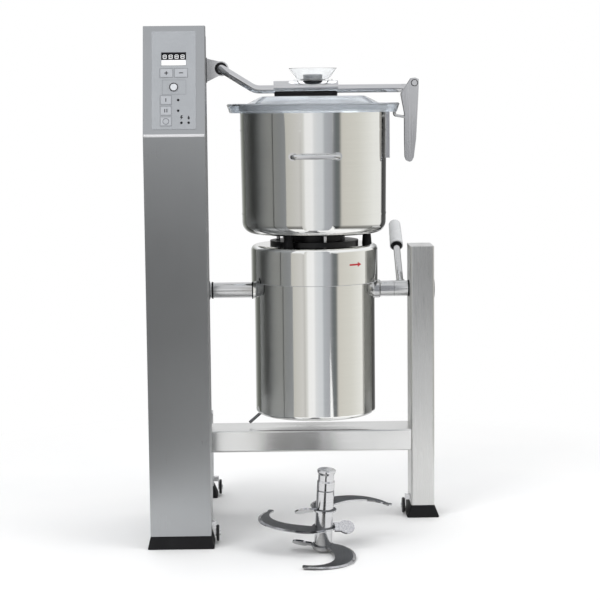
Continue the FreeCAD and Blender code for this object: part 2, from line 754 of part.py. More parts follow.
def frame_seals():
    """Black rings where the tube leaves the column, meets the drum, and at the post and bracket."""
    column_ring = along_x(TUBE_R + SEAL_PROUD, SPINE_X, SPINE_X + SEAL_T)
    column_ring = column_ring.cut(along_x(TUBE_R, SPINE_X - 1, SPINE_X + SEAL_T + 1))
    drum_x = -DRUM_R - BOSS_OUT - RUN
    drum_ring = along_x(TUBE_R + SEAL_PROUD, drum_x - SEAL_T, drum_x)
    drum_ring = drum_ring.cut(along_x(TUBE_R, drum_x - SEAL_T - 1, drum_x + 1))
    post_ring = along_x(TUBE_R + 1, POST_X - GASKET_T, POST_X)
    post_ring = post_ring.cut(along_x(BUSH_R, POST_X - GASKET_T - 1, POST_X + 1))
    bracket_pad = box(SPINE_X, SPINE_X + SHEET, BRACKET_Y[0], BRACKET_Y[1],
                      BRACKET_Z[0] - SHEET, BRACKET_Z[1] + SHEET)
    return group([column_ring, drum_ring, post_ring, bracket_pad])


def post_bushes():
    """Bronze bushes pressed into both ends of the post's bearing tube."""
    bore = along_x(AXLE_R + RUN, POST_X - 1, POST_RIGHT_X + 1)
    near = along_x(BUSH_R, POST_X, POST_X + BUSH_L).cut(bore)
    far = along_x(BUSH_R, POST_RIGHT_X - BUSH_L, POST_RIGHT_X).cut(bore)
    return [near, far]


def axle_end_cap():
    cap = along_x(END_CAP_R, POST_RIGHT_X, POST_RIGHT_X + END_CAP_T)
    return bevel_edges(cap, END_CAP_EDGE, lambda e: e.BoundBox.XMin > POST_RIGHT_X + 1)


# Motor drum, on the tilting side

def motor_housing():
    """Spun lower drum with a rounded bottom edge and an inward lip for the bottom cover."""
    inner_r = DRUM_R - DRUM_WALL
    outer = upright(DRUM_R, DRUM_Z, CAP_Z + CAP_LAP)
    outer = round_edges(outer, DRUM_CORNER, lambda e: e.BoundBox.ZMax < DRUM_Z + 1)
    inner = upright(inner_r, DRUM_Z + DRUM_WALL, CAP_Z + CAP_LAP + 1)
    inner = round_edges(inner, DRUM_CORNER - DRUM_WALL, lambda e: e.BoundBox.ZMax < DRUM_Z + DRUM_WALL + 1)
    drum = outer.cut(inner).cut(upright(inner_r - DRUM_LIP, DRUM_Z - 1, DRUM_Z + 2 * DRUM_WALL))
    boss = along_x(BOSS_R, -DRUM_R - BOSS_OUT, -DRUM_R - BOSS_OUT + BOSS_IN)
    drum = drum.fuse(boss).cut(along_x(TUBE_R + BUSH_WALL, -DRUM_R - BOSS_OUT - 1, -DRUM_R + BOSS_IN + 1))
    drum = drum.cut(along_x(RIGHT_BOSS_R, DRUM_R - 3 * DRUM_WALL, DRUM_R + 1))
    return drum.cut(spout_hole())


def spout_run():
    """Start and end of the drain spout, out of the drum's left bottom corner."""
    start = V(-DRUM_R + 2.5 * DRUM_CORNER, 0, DRUM_Z + 3 * DRUM_WALL)
    end = V(-SPOUT_REACH, 0, DRUM_Z - SPOUT_DROP)
    return start, end


def spout_hole():
    start, end = spout_run()
    run = end - start
    return Part.makeCylinder(SPOUT_R, run.Length, start, run)


def drain_spout():
    start, end = spout_run()
    run = end - start
    heading = V(run).normalize()
    collar_at = start + heading * (0.18 * run.Length)
    spout = Part.makeCylinder(SPOUT_R, run.Length - collar_at.distanceToPoint(start), collar_at, run)
    return spout.cut(Part.makeCylinder(SPOUT_BORE, 2 * run.Length, start, run))


def motor_cap():
    """Spun upper drum: rounded top edge, thick top plate, and a lap over the lower drum."""
    outer = upright(CAP_R, CAP_Z, CAP_TOP)
    outer = round_edges(outer, CAP_EDGE, lambda e: e.BoundBox.ZMin > CAP_TOP - 1)
    inner = upright(CAP_R - CAP_WALL, CAP_Z + CAP_LAP, CAP_TOP - CAP_PLATE)
    inner = round_edges(inner, CAP_EDGE - CAP_WALL, lambda e: e.BoundBox.ZMin > CAP_TOP - CAP_PLATE - 1)
    shell = outer.cut(inner).cut(upright(DRUM_R, CAP_Z - 1, CAP_Z + CAP_LAP + 1))
    return shell.cut(upright(SHAFT_R + 4, CAP_TOP - 2 * CAP_PLATE, CAP_TOP + 1))


def bottom_cover():
    """Bottom plate on the drum's lip, with the boss of the lower bearing."""
    top = DRUM_Z + DRUM_WALL + COVER_T
    plate = upright(DRUM_R - DRUM_CORNER - 4, DRUM_Z + DRUM_WALL, top)
    plate = plate.fuse(upright(COVER_BOSS_R, top, top + COVER_BOSS_H))
    pocket = upright(LOWER_BEARING_R, top + COVER_BOSS_H - BEARING_W, top + COVER_BOSS_H + 1)
    solid = plate.cut(pocket)
    return solid.cut(spout_hole()).removeSplitter()


def motor_frame():
    """Cast motor frame, bolted under the cap's top plate by its flange."""
    top = CAP_TOP - CAP_PLATE
    return turned([
        (UPPER_BEARING_R, top), (UPPER_BEARING_R, top - FRAME_PLATE),
        (FRAME_R - FRAME_WALL, top - FRAME_PLATE), (FRAME_R - FRAME_WALL, FRAME_Z),
        (FRAME_R, FRAME_Z), (FRAME_R, top - FRAME_PLATE + 4),
        (FRAME_FLANGE_R, top - FRAME_PLATE + 4), (FRAME_FLANGE_R, top),
    ])


def motor_stator():
    """Laminated stator with its end windings, pressed into the motor frame."""
    bore_r = FRAME_R - FRAME_WALL
    core = upright(bore_r, STATOR_Z[0], STATOR_Z[1])
    core = core.cut(upright(STATOR_BORE, STATOR_Z[0] - 1, STATOR_Z[1] + 1))
    winding_r = STATOR_BORE + 6 + WINDING_WALL
    coils = []
    for z0 in (STATOR_Z[0] - WINDING_H, STATOR_Z[1]):
        coil = upright(winding_r, z0, z0 + WINDING_H)
        coils.append(coil.cut(upright(STATOR_BORE + 6, z0 - 1, z0 + WINDING_H + 1)))
    return group([core] + coils)


def motor_bearings():
    upper_z = CAP_TOP - CAP_PLATE - BEARING_W
    upper = upright(UPPER_BEARING_R, upper_z, upper_z + BEARING_W)
    upper = upper.cut(upright(SHAFT_R + RUN / 2, upper_z - 1, upper_z + BEARING_W + 1))
    lower_z = DRUM_Z + DRUM_WALL + COVER_T + COVER_BOSS_H - BEARING_W
    lower = upright(LOWER_BEARING_R, lower_z, lower_z + BEARING_W)
    lower = lower.cut(upright(LOWER_JOURNAL_R + RUN / 2, lower_z - 1, lower_z + BEARING_W + 1))
    return group([upper, lower])


def drive_shaft():
    """Motor shaft with its rotor, stepped for the bearings and flatted where it drives the knives."""
    lower_z = DRUM_Z + DRUM_WALL + COVER_T + COVER_BOSS_H - BEARING_W
    upper_z = CAP_TOP - CAP_PLATE - BEARING_W
    rotor_r = STATOR_BORE - AIR_GAP
    shaft = turned([
        (0, lower_z + RUN), (LOWER_JOURNAL_R, lower_z + RUN), (LOWER_JOURNAL_R, lower_z + BEARING_W + RUN),
        (SHAFT_BODY_R, lower_z + BEARING_W + RUN), (SHAFT_BODY_R, STATOR_Z[0]), (rotor_r, STATOR_Z[0]),
        (rotor_r, STATOR_Z[1]), (SHAFT_BODY_R, STATOR_Z[1]), (SHAFT_BODY_R, upper_z - RUN),
        (SHAFT_R, upper_z - RUN), (SHAFT_R, BOWL_Z + CHIMNEY_H), (SHAFT_TOP_R, BOWL_Z + CHIMNEY_H),
        (SHAFT_TOP_R, SHAFT_TOP - 2), (SHAFT_TOP_R - 2, SHAFT_TOP), (0, SHAFT_TOP),
    ])
    flat_from = BOWL_Z + CHIMNEY_H + 20.0
    for side in (-1, 1):
        near = side * SHAFT_FLAT
        far = side * 2 * SHAFT_TOP_R
        shaft = shaft.cut(box(min(near, far), max(near, far), -SHAFT_TOP_R, SHAFT_TOP_R,
                              flat_from, SHAFT_TOP + 1))
    return shaft


def bayonet_ring():
    """Black collar that carries the bowl, on a plate with three keyhole slots for its pins."""
    plate_top = CAP_TOP + PLATE_TH
    solid = upright(PLATE_R, CAP_TOP, plate_top).fuse(upright(COLLAR_R, plate_top, COLLAR_TOP))
    solid = solid.cut(upright(SHAFT_R + 4, CAP_TOP - 1, COLLAR_TOP + 1))
    slot_w = 2 * PIN_R + 1.2
    pocket_w = 2 * PIN_HEAD_R + 1.2
    pocket_top = CAP_TOP + PIN_HEAD_H + 2.2
    for start in PIN_ANGLES:
        for width, z0, z1 in ((slot_w, CAP_TOP - 1, plate_top + 1), (pocket_w, CAP_TOP - 1, pocket_top)):
            ring = upright(PIN_PCD_R + width / 2, z0, z1).cut(upright(PIN_PCD_R - width / 2, z0 - 1, z1 + 1))
            wedge = sector(PLATE_R + 10, z0, z1, start, TWIST)
            solid = solid.cut(ring.common(wedge))
            for angle in (start, start + TWIST):
                x = PIN_PCD_R * math.cos(math.radians(angle))
                y = PIN_PCD_R * math.sin(math.radians(angle))
                solid = solid.cut(upright(width / 2, z0, z1, x, y))
        x = PIN_PCD_R * math.cos(math.radians(start + TWIST))
        y = PIN_PCD_R * math.sin(math.radians(start + TWIST))
        solid = solid.cut(upright(pocket_w / 2, CAP_TOP - 1, plate_top + 1, x, y))
    return solid


def sector(radius, z0, z1, start, sweep):
    """Wedge of a disc between two angles, in degrees."""
    wedge = Part.makeCylinder(radius, z1 - z0, V(0, 0, z0), V(0, 0, 1), sweep)
    return around_axis(wedge, start)


def bowl_rest_pads():
    pads = []
    for angle in REST_ANGLES:
        x = REST_R * math.cos(math.radians(angle))
        y = REST_R * math.sin(math.radians(angle))
        pad = Part.makeCone(REST_FOOT_R, REST_TOP_R, COLLAR_TOP - CAP_TOP, V(x, y, CAP_TOP), V(0, 0, 1))
        pads.append(pad)
    return group(pads)


# Trunnions, tilting side

def left_bush():
    bush = along_x(TUBE_R + BUSH_WALL, -DRUM_R - BOSS_OUT, -DRUM_R - BOSS_OUT + BOSS_IN)
    return bush.cut(along_x(TUBE_R + RUN, -DRUM_R - BOSS_OUT - 1, -DRUM_R + BOSS_IN + 1))


def right_axle():
    """Right-hand axle with the boss and sleeve welded on it, turning in the post."""
    axle = along_x(AXLE_R, AXLE_IN_X, POST_RIGHT_X - RUN)
    boss = along_x(RIGHT_BOSS_R, AXLE_IN_X, RIGHT_BOSS_X)
    boss = bevel_edges(boss, RIGHT_BOSS_CHAMFER, lambda e: e.BoundBox.XMin > RIGHT_BOSS_X - 1)
    sleeve = along_x(TUBE_R, RIGHT_BOSS_X, COLLAR_SPLIT_X)
    return axle.fuse(boss).fuse(sleeve).removeSplitter()


def lever_direction():
    lean = math.radians(LEVER_LEAN)
    return V(0, math.sin(lean), math.cos(lean))


def lever_point(distance):
    return V(LEVER_X, 0, AXLE_Z) + lever_direction() * distance


def lever_collar():
    collar = along_x(TUBE_R, COLLAR_SPLIT_X + SPLIT_GAP, COLLAR_END_X)
    collar = collar.cut(along_x(AXLE_R, COLLAR_SPLIT_X - 1, COLLAR_END_X + 1))
    seat = Part.makeCylinder(LEVER_R + 5, LEVER_SEAT, lever_point(TUBE_R - 5), lever_direction())
    collar = collar.fuse(seat.cut(along_x(AXLE_R, COLLAR_SPLIT_X - 1, COLLAR_END_X + 1)))
    socket = Part.makeCylinder(LEVER_R, 60, lever_point(AXLE_R), lever_direction())
    return collar.cut(socket)


def tilt_lever_rod():
    rod = Part.makeCylinder(LEVER_R, LEVER_END - AXLE_R, lever_point(AXLE_R), lever_direction())
    return rod.cut(along_x(AXLE_R, COLLAR_SPLIT_X - 1, COLLAR_END_X + 1))


def tilt_lever_grip():
    """Hollow tapered grip with a domed end and an open mouth towards the collar."""
    profile = [
        (LEVER_R, GRIP_FROM + 22), (GRIP_R - GRIP_WALL, GRIP_FROM + 4), (GRIP_R - GRIP_WALL, GRIP_FROM),
        (GRIP_R, GRIP_FROM), (GRIP_TIP_R, GRIP_TO - GRIP_NOSE),
        (GRIP_TIP_R - 0.3 * GRIP_NOSE, GRIP_TO - 0.35 * GRIP_NOSE),
        (GRIP_TIP_R - GRIP_NOSE, GRIP_TO), (0, GRIP_TO), (0, LEVER_END), (LEVER_R, LEVER_END),
    ]
    grip = turned(profile)
    grip.rotate(V(0, 0, 0), V(1, 0, 0), -LEVER_LEAN)
    grip.translate(V(LEVER_X, 0, AXLE_Z))
    return grip


# Bowl

def bowl_radius(z):
    """Outer radius of the bowl's wall, which opens slightly towards the rim."""
    share = (z - BOWL_Z) / (BOWL_TOP - BOWL_Z)
    return BOWL_R + (BOWL_TOP_R - BOWL_R) * share


def bowl():
    """Spun bowl with a rounded base, a rolled rim, two pressed bands and a centre chimney."""
    outer = Part.makeCone(BOWL_R, BOWL_TOP_R, BOWL_TOP - BOWL_Z, V(0, 0, BOWL_Z), V(0, 0, 1))
    outer = round_edges(outer, BOWL_CORNER, lambda e: e.BoundBox.ZMax < BOWL_Z + 1)
    inner = Part.makeCone(BOWL_R - BOWL_WALL, BOWL_TOP_R - BOWL_WALL, BOWL_TOP - BOWL_Z,
                          V(0, 0, BOWL_Z + BOWL_WALL), V(0, 0, 1))
    inner = round_edges(inner, BOWL_CORNER - BOWL_WALL, lambda e: e.BoundBox.ZMax < BOWL_Z + BOWL_WALL + 1)
    rim = Part.makeTorus(BOWL_TOP_R - BOWL_WALL / 2, RIM_R, V(0, 0, BOWL_TOP - RIM_R))
    solid = outer.fuse(rim)
    for z in BAND_Z:
        r = bowl_radius(z)
        solid = solid.fuse(upright(r + BAND_PROUD, z - BAND_H / 2, z + BAND_H / 2))
    solid = solid.cut(inner)
    chimney = upright(CHIMNEY_R + BOWL_WALL, BOWL_Z, BOWL_Z + CHIMNEY_H)
    chimney = bevel_edges(chimney, 1.0, lambda e: e.BoundBox.ZMin > BOWL_Z + CHIMNEY_H - 1)
    solid = solid.fuse(chimney)
    return solid.cut(upright(CHIMNEY_R, BOWL_Z - 1, BOWL_Z + CHIMNEY_H + 1)).removeSplitter()


def bowl_handles():
    """Two bent round bars with round feet, one at the front and one at the back."""
    half = HANDLE_W / 2
    wall_r = bowl_radius(HANDLE_Z)
    bar_y = -wall_r - HANDLE_PROUD
    foot_y = -math.sqrt(wall_r ** 2 - half ** 2)
    points = [V(-half, foot_y + 4, HANDLE_Z), V(-half, bar_y, HANDLE_Z), V(half, bar_y, HANDLE_Z),
              V(half, foot_y + 4, HANDLE_Z)]
    front = bent_rod(points, [HANDLE_BEND, HANDLE_BEND], HANDLE_R)
    for x in (-half, half):
        front = front.fuse(along_y(HANDLE_FOOT_R, foot_y - 6, foot_y + 6, x, HANDLE_Z))
    shell_out = Part.makeCone(BOWL_R, BOWL_TOP_R, BOWL_TOP - BOWL_Z, V(0, 0, BOWL_Z), V(0, 0, 1))
    front = front.cut(shell_out)
    return group([front, around_axis(front, 180)])


def bowl_catch():
    """Folded plate on the bowl's right side with the nose that the latch hooks under."""
    half = CATCH_W / 2
    plate = box(CATCH_X - CATCH_T, CATCH_X, -half, half, CATCH_BOTTOM, CATCH_TOP)
    nose = box(CATCH_X - CATCH_T, CATCH_X + CATCH_NOSE, -half, half, CATCH_TOP - CATCH_NOSE_T, CATCH_TOP)
    nose = bevel_edges(nose, 3.0, lambda e: is_along_y(e) and e.BoundBox.XMin > CATCH_X + 1
                       and e.BoundBox.ZMin > CATCH_TOP - 1)
    solid = plate.fuse(nose)
    for y0 in (-half, half - CATCH_T):
        solid = solid.fuse(box(0, CATCH_X - CATCH_T, y0, y0 + CATCH_T, CATCH_BOTTOM, BOWL_TOP - 3 * RIM_R))
    core = Part.makeCone(BOWL_R, BOWL_TOP_R, BOWL_TOP - BOWL_Z, V(0, 0, BOWL_Z), V(0, 0, 1))
    for z in BAND_Z:
        core = core.fuse(upright(bowl_radius(z) + BAND_PROUD, z - BAND_H / 2, z + BAND_H / 2))
    return solid.cut(core).removeSplitter()


def bayonet_pins():
    """Three headed pins under the bowl, which turn into the slots of the bayonet ring."""
    pins = []
    head_z = CAP_TOP + 1.0
    for angle in PIN_ANGLES:
        x = PIN_PCD_R * math.cos(math.radians(angle))
        y = PIN_PCD_R * math.sin(math.radians(angle))
        head = upright(PIN_HEAD_R, head_z, head_z + PIN_HEAD_H, x, y)
        pins.append(upright(PIN_R, head_z, BOWL_Z, x, y).fuse(head).removeSplitter())
    return group(pins)


# Lid and its arm

def arm_route(extra):
    """Corner points of the arm's centre line, from the back of the bracket to the clevis."""
    slope = math.radians(ARM_SLOPE)
    drop = ARM_PIVOT_Z - ARM_Z
    knee_x = ARM_PIVOT_X + drop / math.tan(slope)
    return [
        V(ARM_PIVOT_X, BRACKET_Y[1] + BUSH_FLANGE_T + RUN + RETAINER_T + extra, ARM_PIVOT_Z),
        V(ARM_PIVOT_X, 0, ARM_PIVOT_Z),
        V(knee_x, 0, ARM_Z),
        V(ARM_END_X + extra, 0, ARM_Z),
    ]


def lid_arm():
    """Bent tube with a retaining collar, the sleeve over the lid and the clevis at its end."""
    bends = [ARM_PIVOT_BEND, ARM_BEND]
    tube = bent_rod(arm_route(0.0), bends, ARM_R)
    hollow = bent_rod(arm_route(1.0), bends, ARM_R - ARM_WALL)
    collar_y = BRACKET_Y[1] + BUSH_FLANGE_T + RUN
    collar = along_y(RETAINER_R, collar_y, collar_y + RETAINER_T, ARM_PIVOT_X, ARM_PIVOT_Z)
    sleeve = along_x(SLEEVE_R, SLEEVE_X[0], SLEEVE_X[1], 0, SLEEVE_Z)
    half = CLEVIS_W / 2
    ear = along_y(CLEVIS_EAR_R, -half, half, LATCH_X, LATCH_Z)
    clevis_outline = [(ARM_END_X - 4, ARM_Z - ARM_R), (ARM_END_X + 14, ARM_Z - ARM_R - 8),
                      (ARM_END_X + 22, ARM_Z - ARM_R - 4), (LATCH_X + 5.5, LATCH_Z - 5.0),
                      (LATCH_X + 2, LATCH_Z + CLEVIS_EAR_R - 0.5), (ARM_END_X + 12, ARM_Z + ARM_R),
                      (ARM_END_X - 4, ARM_Z + ARM_R)]
    clevis = side_plate(clevis_outline, -half, half)
    solid = tube.fuse(collar).fuse(sleeve).fuse(clevis).fuse(ear)
    solid = solid.cut(hollow)
    solid = solid.fuse(side_plate([(ARM_END_X - 4, ARM_Z - ARM_R + 2), (ARM_END_X + 10, ARM_Z - ARM_R + 2),
                                   (ARM_END_X + 10, ARM_Z + ARM_R - 2), (ARM_END_X - 4, ARM_Z + ARM_R - 2)],
                                  -half + 2, half - 2))
    solid = solid.cut(upright(SPINDLE_R + RUN, SLEEVE_Z - 2 * SLEEVE_R, SLEEVE_Z + 2 * SLEEVE_R))
    return solid.cut(along_y(LATCH_PIN_R + RUN, -half - 1, half + 1, LATCH_X, LATCH_Z))


def arm_bracket():
    """Tapered bracket on the column's side, with the bore for the arm's bush."""
    base_x = SPINE_X + SHEET
    y0, y1 = BRACKET_Y
    mid_z = ARM_PIVOT_Z
    outline = [(base_x, BRACKET_Z[0]), (ARM_PIVOT_X - 6, mid_z - BRACKET_R + 1),
               (ARM_PIVOT_X - 4, mid_z + BRACKET_R - 1), (base_x, BRACKET_Z[1])]
    body = side_plate(outline, y0, y1)
    body = body.fuse(along_y(BRACKET_R, y0, y1, ARM_PIVOT_X, ARM_PIVOT_Z))
    body = body.cut(along_y(ARM_BUSH_R, y0 - 1, y1 + 1, ARM_PIVOT_X, ARM_PIVOT_Z))
    return body.removeSplitter()


def arm_bush():
    """Flanged black bush in the bracket; the arm turns in it."""
    y0, y1 = BRACKET_Y
    bush = along_y(ARM_BUSH_R, y0 - BUSH_FLANGE_T, y1 + BUSH_FLANGE_T, ARM_PIVOT_X, ARM_PIVOT_Z)
    for y in (y0 - BUSH_FLANGE_T, y1):
        bush = bush.fuse(along_y(ARM_BUSH_R + BUSH_FLANGE, y, y + BUSH_FLANGE_T, ARM_PIVOT_X, ARM_PIVOT_Z))
    return bush.cut(along_y(ARM_R + RUN, y0 - 10, y1 + 10, ARM_PIVOT_X, ARM_PIVOT_Z)).removeSplitter()


def lid_saddle():
    """Black saddle between the sleeve and the top of the lid."""
    half = SADDLE_W / 2
    block = box(SADDLE_X[0], SADDLE_X[1], -half, half, LID_PLATEAU_Z, LID_PLATEAU_Z + SADDLE_H)
    block = round_edges(block, 6.0, is_upright)
    block = block.cut(along_x(SLEEVE_R, SADDLE_X[0] - 5, SADDLE_X[1] + 5, 0, SLEEVE_Z))
    return block.cut(upright(SPINDLE_R + RUN, LID_PLATEAU_Z - 1, SLEEVE_Z))


def lid():
    """Clear moulded lid in two layers face to face: the skirt, and the brim with the raised centre."""
    profile = [
        (SPINDLE_R + RUN, LID_PLATEAU_Z), (LID_PLATEAU_R, LID_PLATEAU_Z), (LID_DOME_R, LID_TOP),
        (LID_BRIM_R - LID_EDGE, LID_TOP), (LID_BRIM_R, LID_TOP - LID_EDGE), (LID_SKIRT_R, LID_SKIRT_Z),
        (LID_SKIRT_R - LID_T, LID_SKIRT_Z), (LID_BRIM_R - 1.2 * LID_T, LID_TOP - LID_T),
        (LID_DOME_R - LID_T, LID_TOP - LID_T), (LID_PLATEAU_R - LID_T / 2, LID_UNDER),
        (SPINDLE_R + RUN, LID_UNDER),
    ]
    solid = turned(profile)
    solid = round_edges(solid, LID_ROUND, lambda e: abs(e.BoundBox.ZMin - LID_PLATEAU_Z) < 0.01
                        and e.BoundBox.XLength > LID_PLATEAU_R)
    notch = box(CATCH_X + CATCH_NOSE, LID_BRIM_R + LID_EDGE, -NOTCH_W / 2, NOTCH_W / 2,
                LID_SKIRT_Z - LID_EDGE, LID_TOP - LID_T)
    below = upright(LID_BRIM_R + LID_EDGE, LID_SKIRT_Z - LID_EDGE, LID_TOP - LID_T)
    skirt = solid.common(below).cut(notch)
    return group([solid.cut(below), skirt])


def lid_seal():
    """Silicone ring under the brim; it rests on the bowl's rim when the lid is shut."""
    z0 = BOWL_TOP + RUN
    return upright(SEAL_R + SEAL_W, z0, LID_TOP - LID_T).cut(upright(SEAL_R, z0 - 1, LID_TOP))


# Funnel knob and wiper

def funnel_knob():
    """Clear cup over the arm; turning it turns the wiper under the lid."""
    z0 = KNOB_Z
    z1 = z0 + KNOB_BASE_T
    z2 = z0 + KNOB_H
    return turned([
        (CORE_R, z0), (KNOB_BASE_R, z0), (KNOB_BASE_R, z1), (KNOB_FOOT_R, z1), (KNOB_TOP_R, z2),
        (KNOB_TOP_R - KNOB_WALL, z2), (KNOB_FOOT_R - KNOB_WALL, z1), (CORE_R, z1),
    ])


def wiper_spindle():
    """Grey core of the knob on the steel spindle that passes through arm, saddle and lid."""
    z0 = KNOB_Z
    return turned([
        (0, LID_UNDER - RUN - WIPER_T), (SPINDLE_R, LID_UNDER - RUN - WIPER_T), (SPINDLE_R, z0), (CORE_R, z0),
        (CORE_R, z0 + 0.35 * CORE_H), (CORE_R - 1, z0 + 0.38 * CORE_H), (CORE_R - 1, z0 + 0.62 * CORE_H),
        (CORE_R, z0 + 0.65 * CORE_H), (CORE_R, z0 + CORE_H - 2), (CORE_R - 2, z0 + CORE_H), (0, z0 + CORE_H),
    ])


def wiper_blade():
    """Arm with a rubber lip that sweeps the underside of the lid."""
    z1 = LID_UNDER - RUN
    bar = box(0, WIPER_L, -WIPER_W / 2, WIPER_W / 2, z1 - WIPER_T, z1 - WIPER_LIP)
    bar = round_edges(bar, WIPER_W / 2 - 0.2, lambda e: is_upright(e) and e.BoundBox.XMin > WIPER_L - 1)
    lip = box(0, WIPER_L - WIPER_W / 2, -1.2, 1.2, z1 - WIPER_LIP, z1)
    hub = upright(WIPER_HUB_R, z1 - WIPER_T, z1)
    return bar.fuse(lip).fuse(hub).cut(upright(SPINDLE_R, z1 - WIPER_T - 1, z1 + 1)).removeSplitter()


# Latch

def latch_outline(inset):
    """Side view of the latch lever, as (x, z) points."""
    right_top = LATCH_X + 11.0
    return [
        (LATCH_X - 8.0, LATCH_Z + 12.0), (LATCH_X + 2.0, LATCH_Z + 13.0), (right_top - inset, LATCH_Z + 9.0),
        (right_top - 0.5 - inset, LATCH_Z - 20.0), (LATCH_X + 4.0 - inset, LATCH_BOTTOM + 60.0),
        (LATCH_X - 2.0 - inset, LATCH_BOTTOM + 12.0), (LATCH_X - 7.0 - inset, LATCH_BOTTOM + 2.0),
        (LATCH_X - 13.0, LATCH_BOTTOM), (LATCH_X - 20.0, LATCH_BOTTOM + 3.0),
        (LATCH_X - 24.0, LATCH_BOTTOM + 12.0), (LATCH_X - 25.0, LATCH_BOTTOM + 60.0),
        (LATCH_X - 25.0, LATCH_Z - 76.0), (LATCH_X - 34.0, LATCH_Z - 28.0), (LATCH_X - 30.0, LATCH_Z - 21.0),
    ]


def latch_lever():
    """Folded channel, open towards the bowl, that hangs from the pin at the end of the arm."""
    half = LATCH_W / 2
    body = side_plate(latch_outline(0.0), -half, half)
    web = LATCH_T + 0.2
    hollow_outline = latch_outline(web)[2:7]
    hollow_outline = [(hollow_outline[0][0], LATCH_Z + 40)] + hollow_outline
    hollow_outline += [(LATCH_X - 13.0, LATCH_BOTTOM + LATCH_T), (LATCH_X - 60, LATCH_BOTTOM + LATCH_T),
                       (LATCH_X - 60, LATCH_Z + 40)]
    body = body.cut(side_plate(hollow_outline, -half + LATCH_T, half - LATCH_T))
    body = body.cut(along_y(LATCH_PIN_R, -half - 1, half + 1, LATCH_X, LATCH_Z))
    return body.cut(along_y(BAIL_PIN_R, -half - 1, half + 1, BAIL_PIN_X, BAIL_PIN_Z))


def latch_pin():
    half = LATCH_W / 2
    pin = along_y(LATCH_PIN_R, -half, half, LATCH_X, LATCH_Z)
    for y0 in (-half - 2.5, half):
        pin = pin.fuse(along_y(LATCH_PIN_R + 2, y0, y0 + 2.5, LATCH_X, LATCH_Z))
    return pin.removeSplitter()


def latch_bail():
    """Bent wire on a cross pin in the lever; its raised end hooks under the bowl's catch."""
    half = LATCH_W / 2
    y = BAIL_W / 2
    knee_x = BAIL_X + 1.5
    knee_z = BAIL_Z - BAIL_RISE
    route = [V(BAIL_PIN_X, -y, BAIL_PIN_Z), V(knee_x, -y, knee_z), V(BAIL_X, -y, BAIL_Z),
             V(BAIL_X, y, BAIL_Z), V(knee_x, y, knee_z), V(BAIL_PIN_X, y, BAIL_PIN_Z)]
    wire = bent_rod(route, [BAIL_BEND] * 4, BAIL_R)
    pin = along_y(BAIL_PIN_R, -half, half, BAIL_PIN_X, BAIL_PIN_Z)
    return pin.fuse(wire)


# Knife assembly

def polar(radius, angle):
    return V(radius * math.cos(math.radians(angle)), radius * math.sin(math.radians(angle)), 0)


def sickle(tip_angle):
    """Curved blade seen from above; it sweeps clockwise from its broad root to a blunt tip."""
    outer = [(0.15, 150.0), (0.30, 108.0), (0.50, 74.0), (0.70, 53.0), (0.87, 36.0), (0.97, 18.0), (1.0, 2.0)]
    inner = [(0.93, -1.0), (0.86, 12.0), (0.73, 23.0), (0.54, 32.0), (0.34, 38.0), (0.15, 44.0)]
    curves = []
    for side in (outer, inner):
        curve = Part.BSplineCurve()
        curve.interpolate([polar(BLADE_R * share, tip_angle + turn) for share, turn in side])
        curves.append(curve.toShape())
    tip = Part.Arc(polar(BLADE_R * outer[-1][0], tip_angle + outer[-1][1]),
                   polar(BLADE_R * 0.972, tip_angle - 1.7),
                   polar(BLADE_R * inner[0][0], tip_angle + inner[0][1])).toShape()
    root = Part.LineSegment(polar(BLADE_R * inner[-1][0], tip_angle + inner[-1][1]),
                            polar(BLADE_R * outer[0][0], tip_angle + outer[0][1])).toShape()
    return Part.Face(Part.Wire([curves[0], tip, curves[1], root]))


def ground_blade(tip_angle):
    """Sickle with its outer edge ground to a bevel on the upper side."""
    blade = sickle(tip_angle).extrude(V(0, 0, BLADE_T))
    upper = [e for e in blade.Edges if e.BoundBox.ZMin > BLADE_T - 0.01]
    cutting_edge = max(upper, key=lambda e: e.Length)
    return blade.makeChamfer(BLADE_BEVEL[0], BLADE_BEVEL[1], [cutting_edge])


def paddle(angle):
    """Short rounded wing, pitched about its own length."""
    half = PADDLE_W / 2
    neck = PADDLE_NECK / 2
    wing = box(0, PADDLE_L - half, -neck, neck, 0, BLADE_T)
    wing = wing.fuse(upright(half, 0, BLADE_T, PADDLE_L - half, 0)).removeSplitter()
    wing.rotate(V(0, 0, BLADE_T / 2), V(1, 0, 0), PADDLE_PITCH)
    return around_axis(wing.cut(upright(BLADE_RING_R - 1, -50, 50)), angle)


def standing(shape):
    """Put a piece of the knife assembly where it stands, leaning a little as it rests on a blade."""
    shape.rotate(V(0, 0, 0), V(1, 0, 0), KNIFE_LEAN_FRONT)
    shape.rotate(V(0, 0, 0), V(0, 1, 0), KNIFE_LEAN_RIGHT)
    shape.translate(KNIFE_SPOT)
    return shape


def knife(level):
    """One long curved blade and one short paddle on a common ring."""
    solid = ground_blade(BLADE_TIP_ANGLE[level]).fuse(upright(BLADE_RING_R, 0, BLADE_T))
    solid = solid.fuse(paddle(PADDLE_ANGLE[level]))
    solid = solid.cut(upright(KNIFE_HUB_R, -50, 50)).removeSplitter()
    solid.translate(V(0, 0, BLADE_Z[level]))
    return standing(solid)


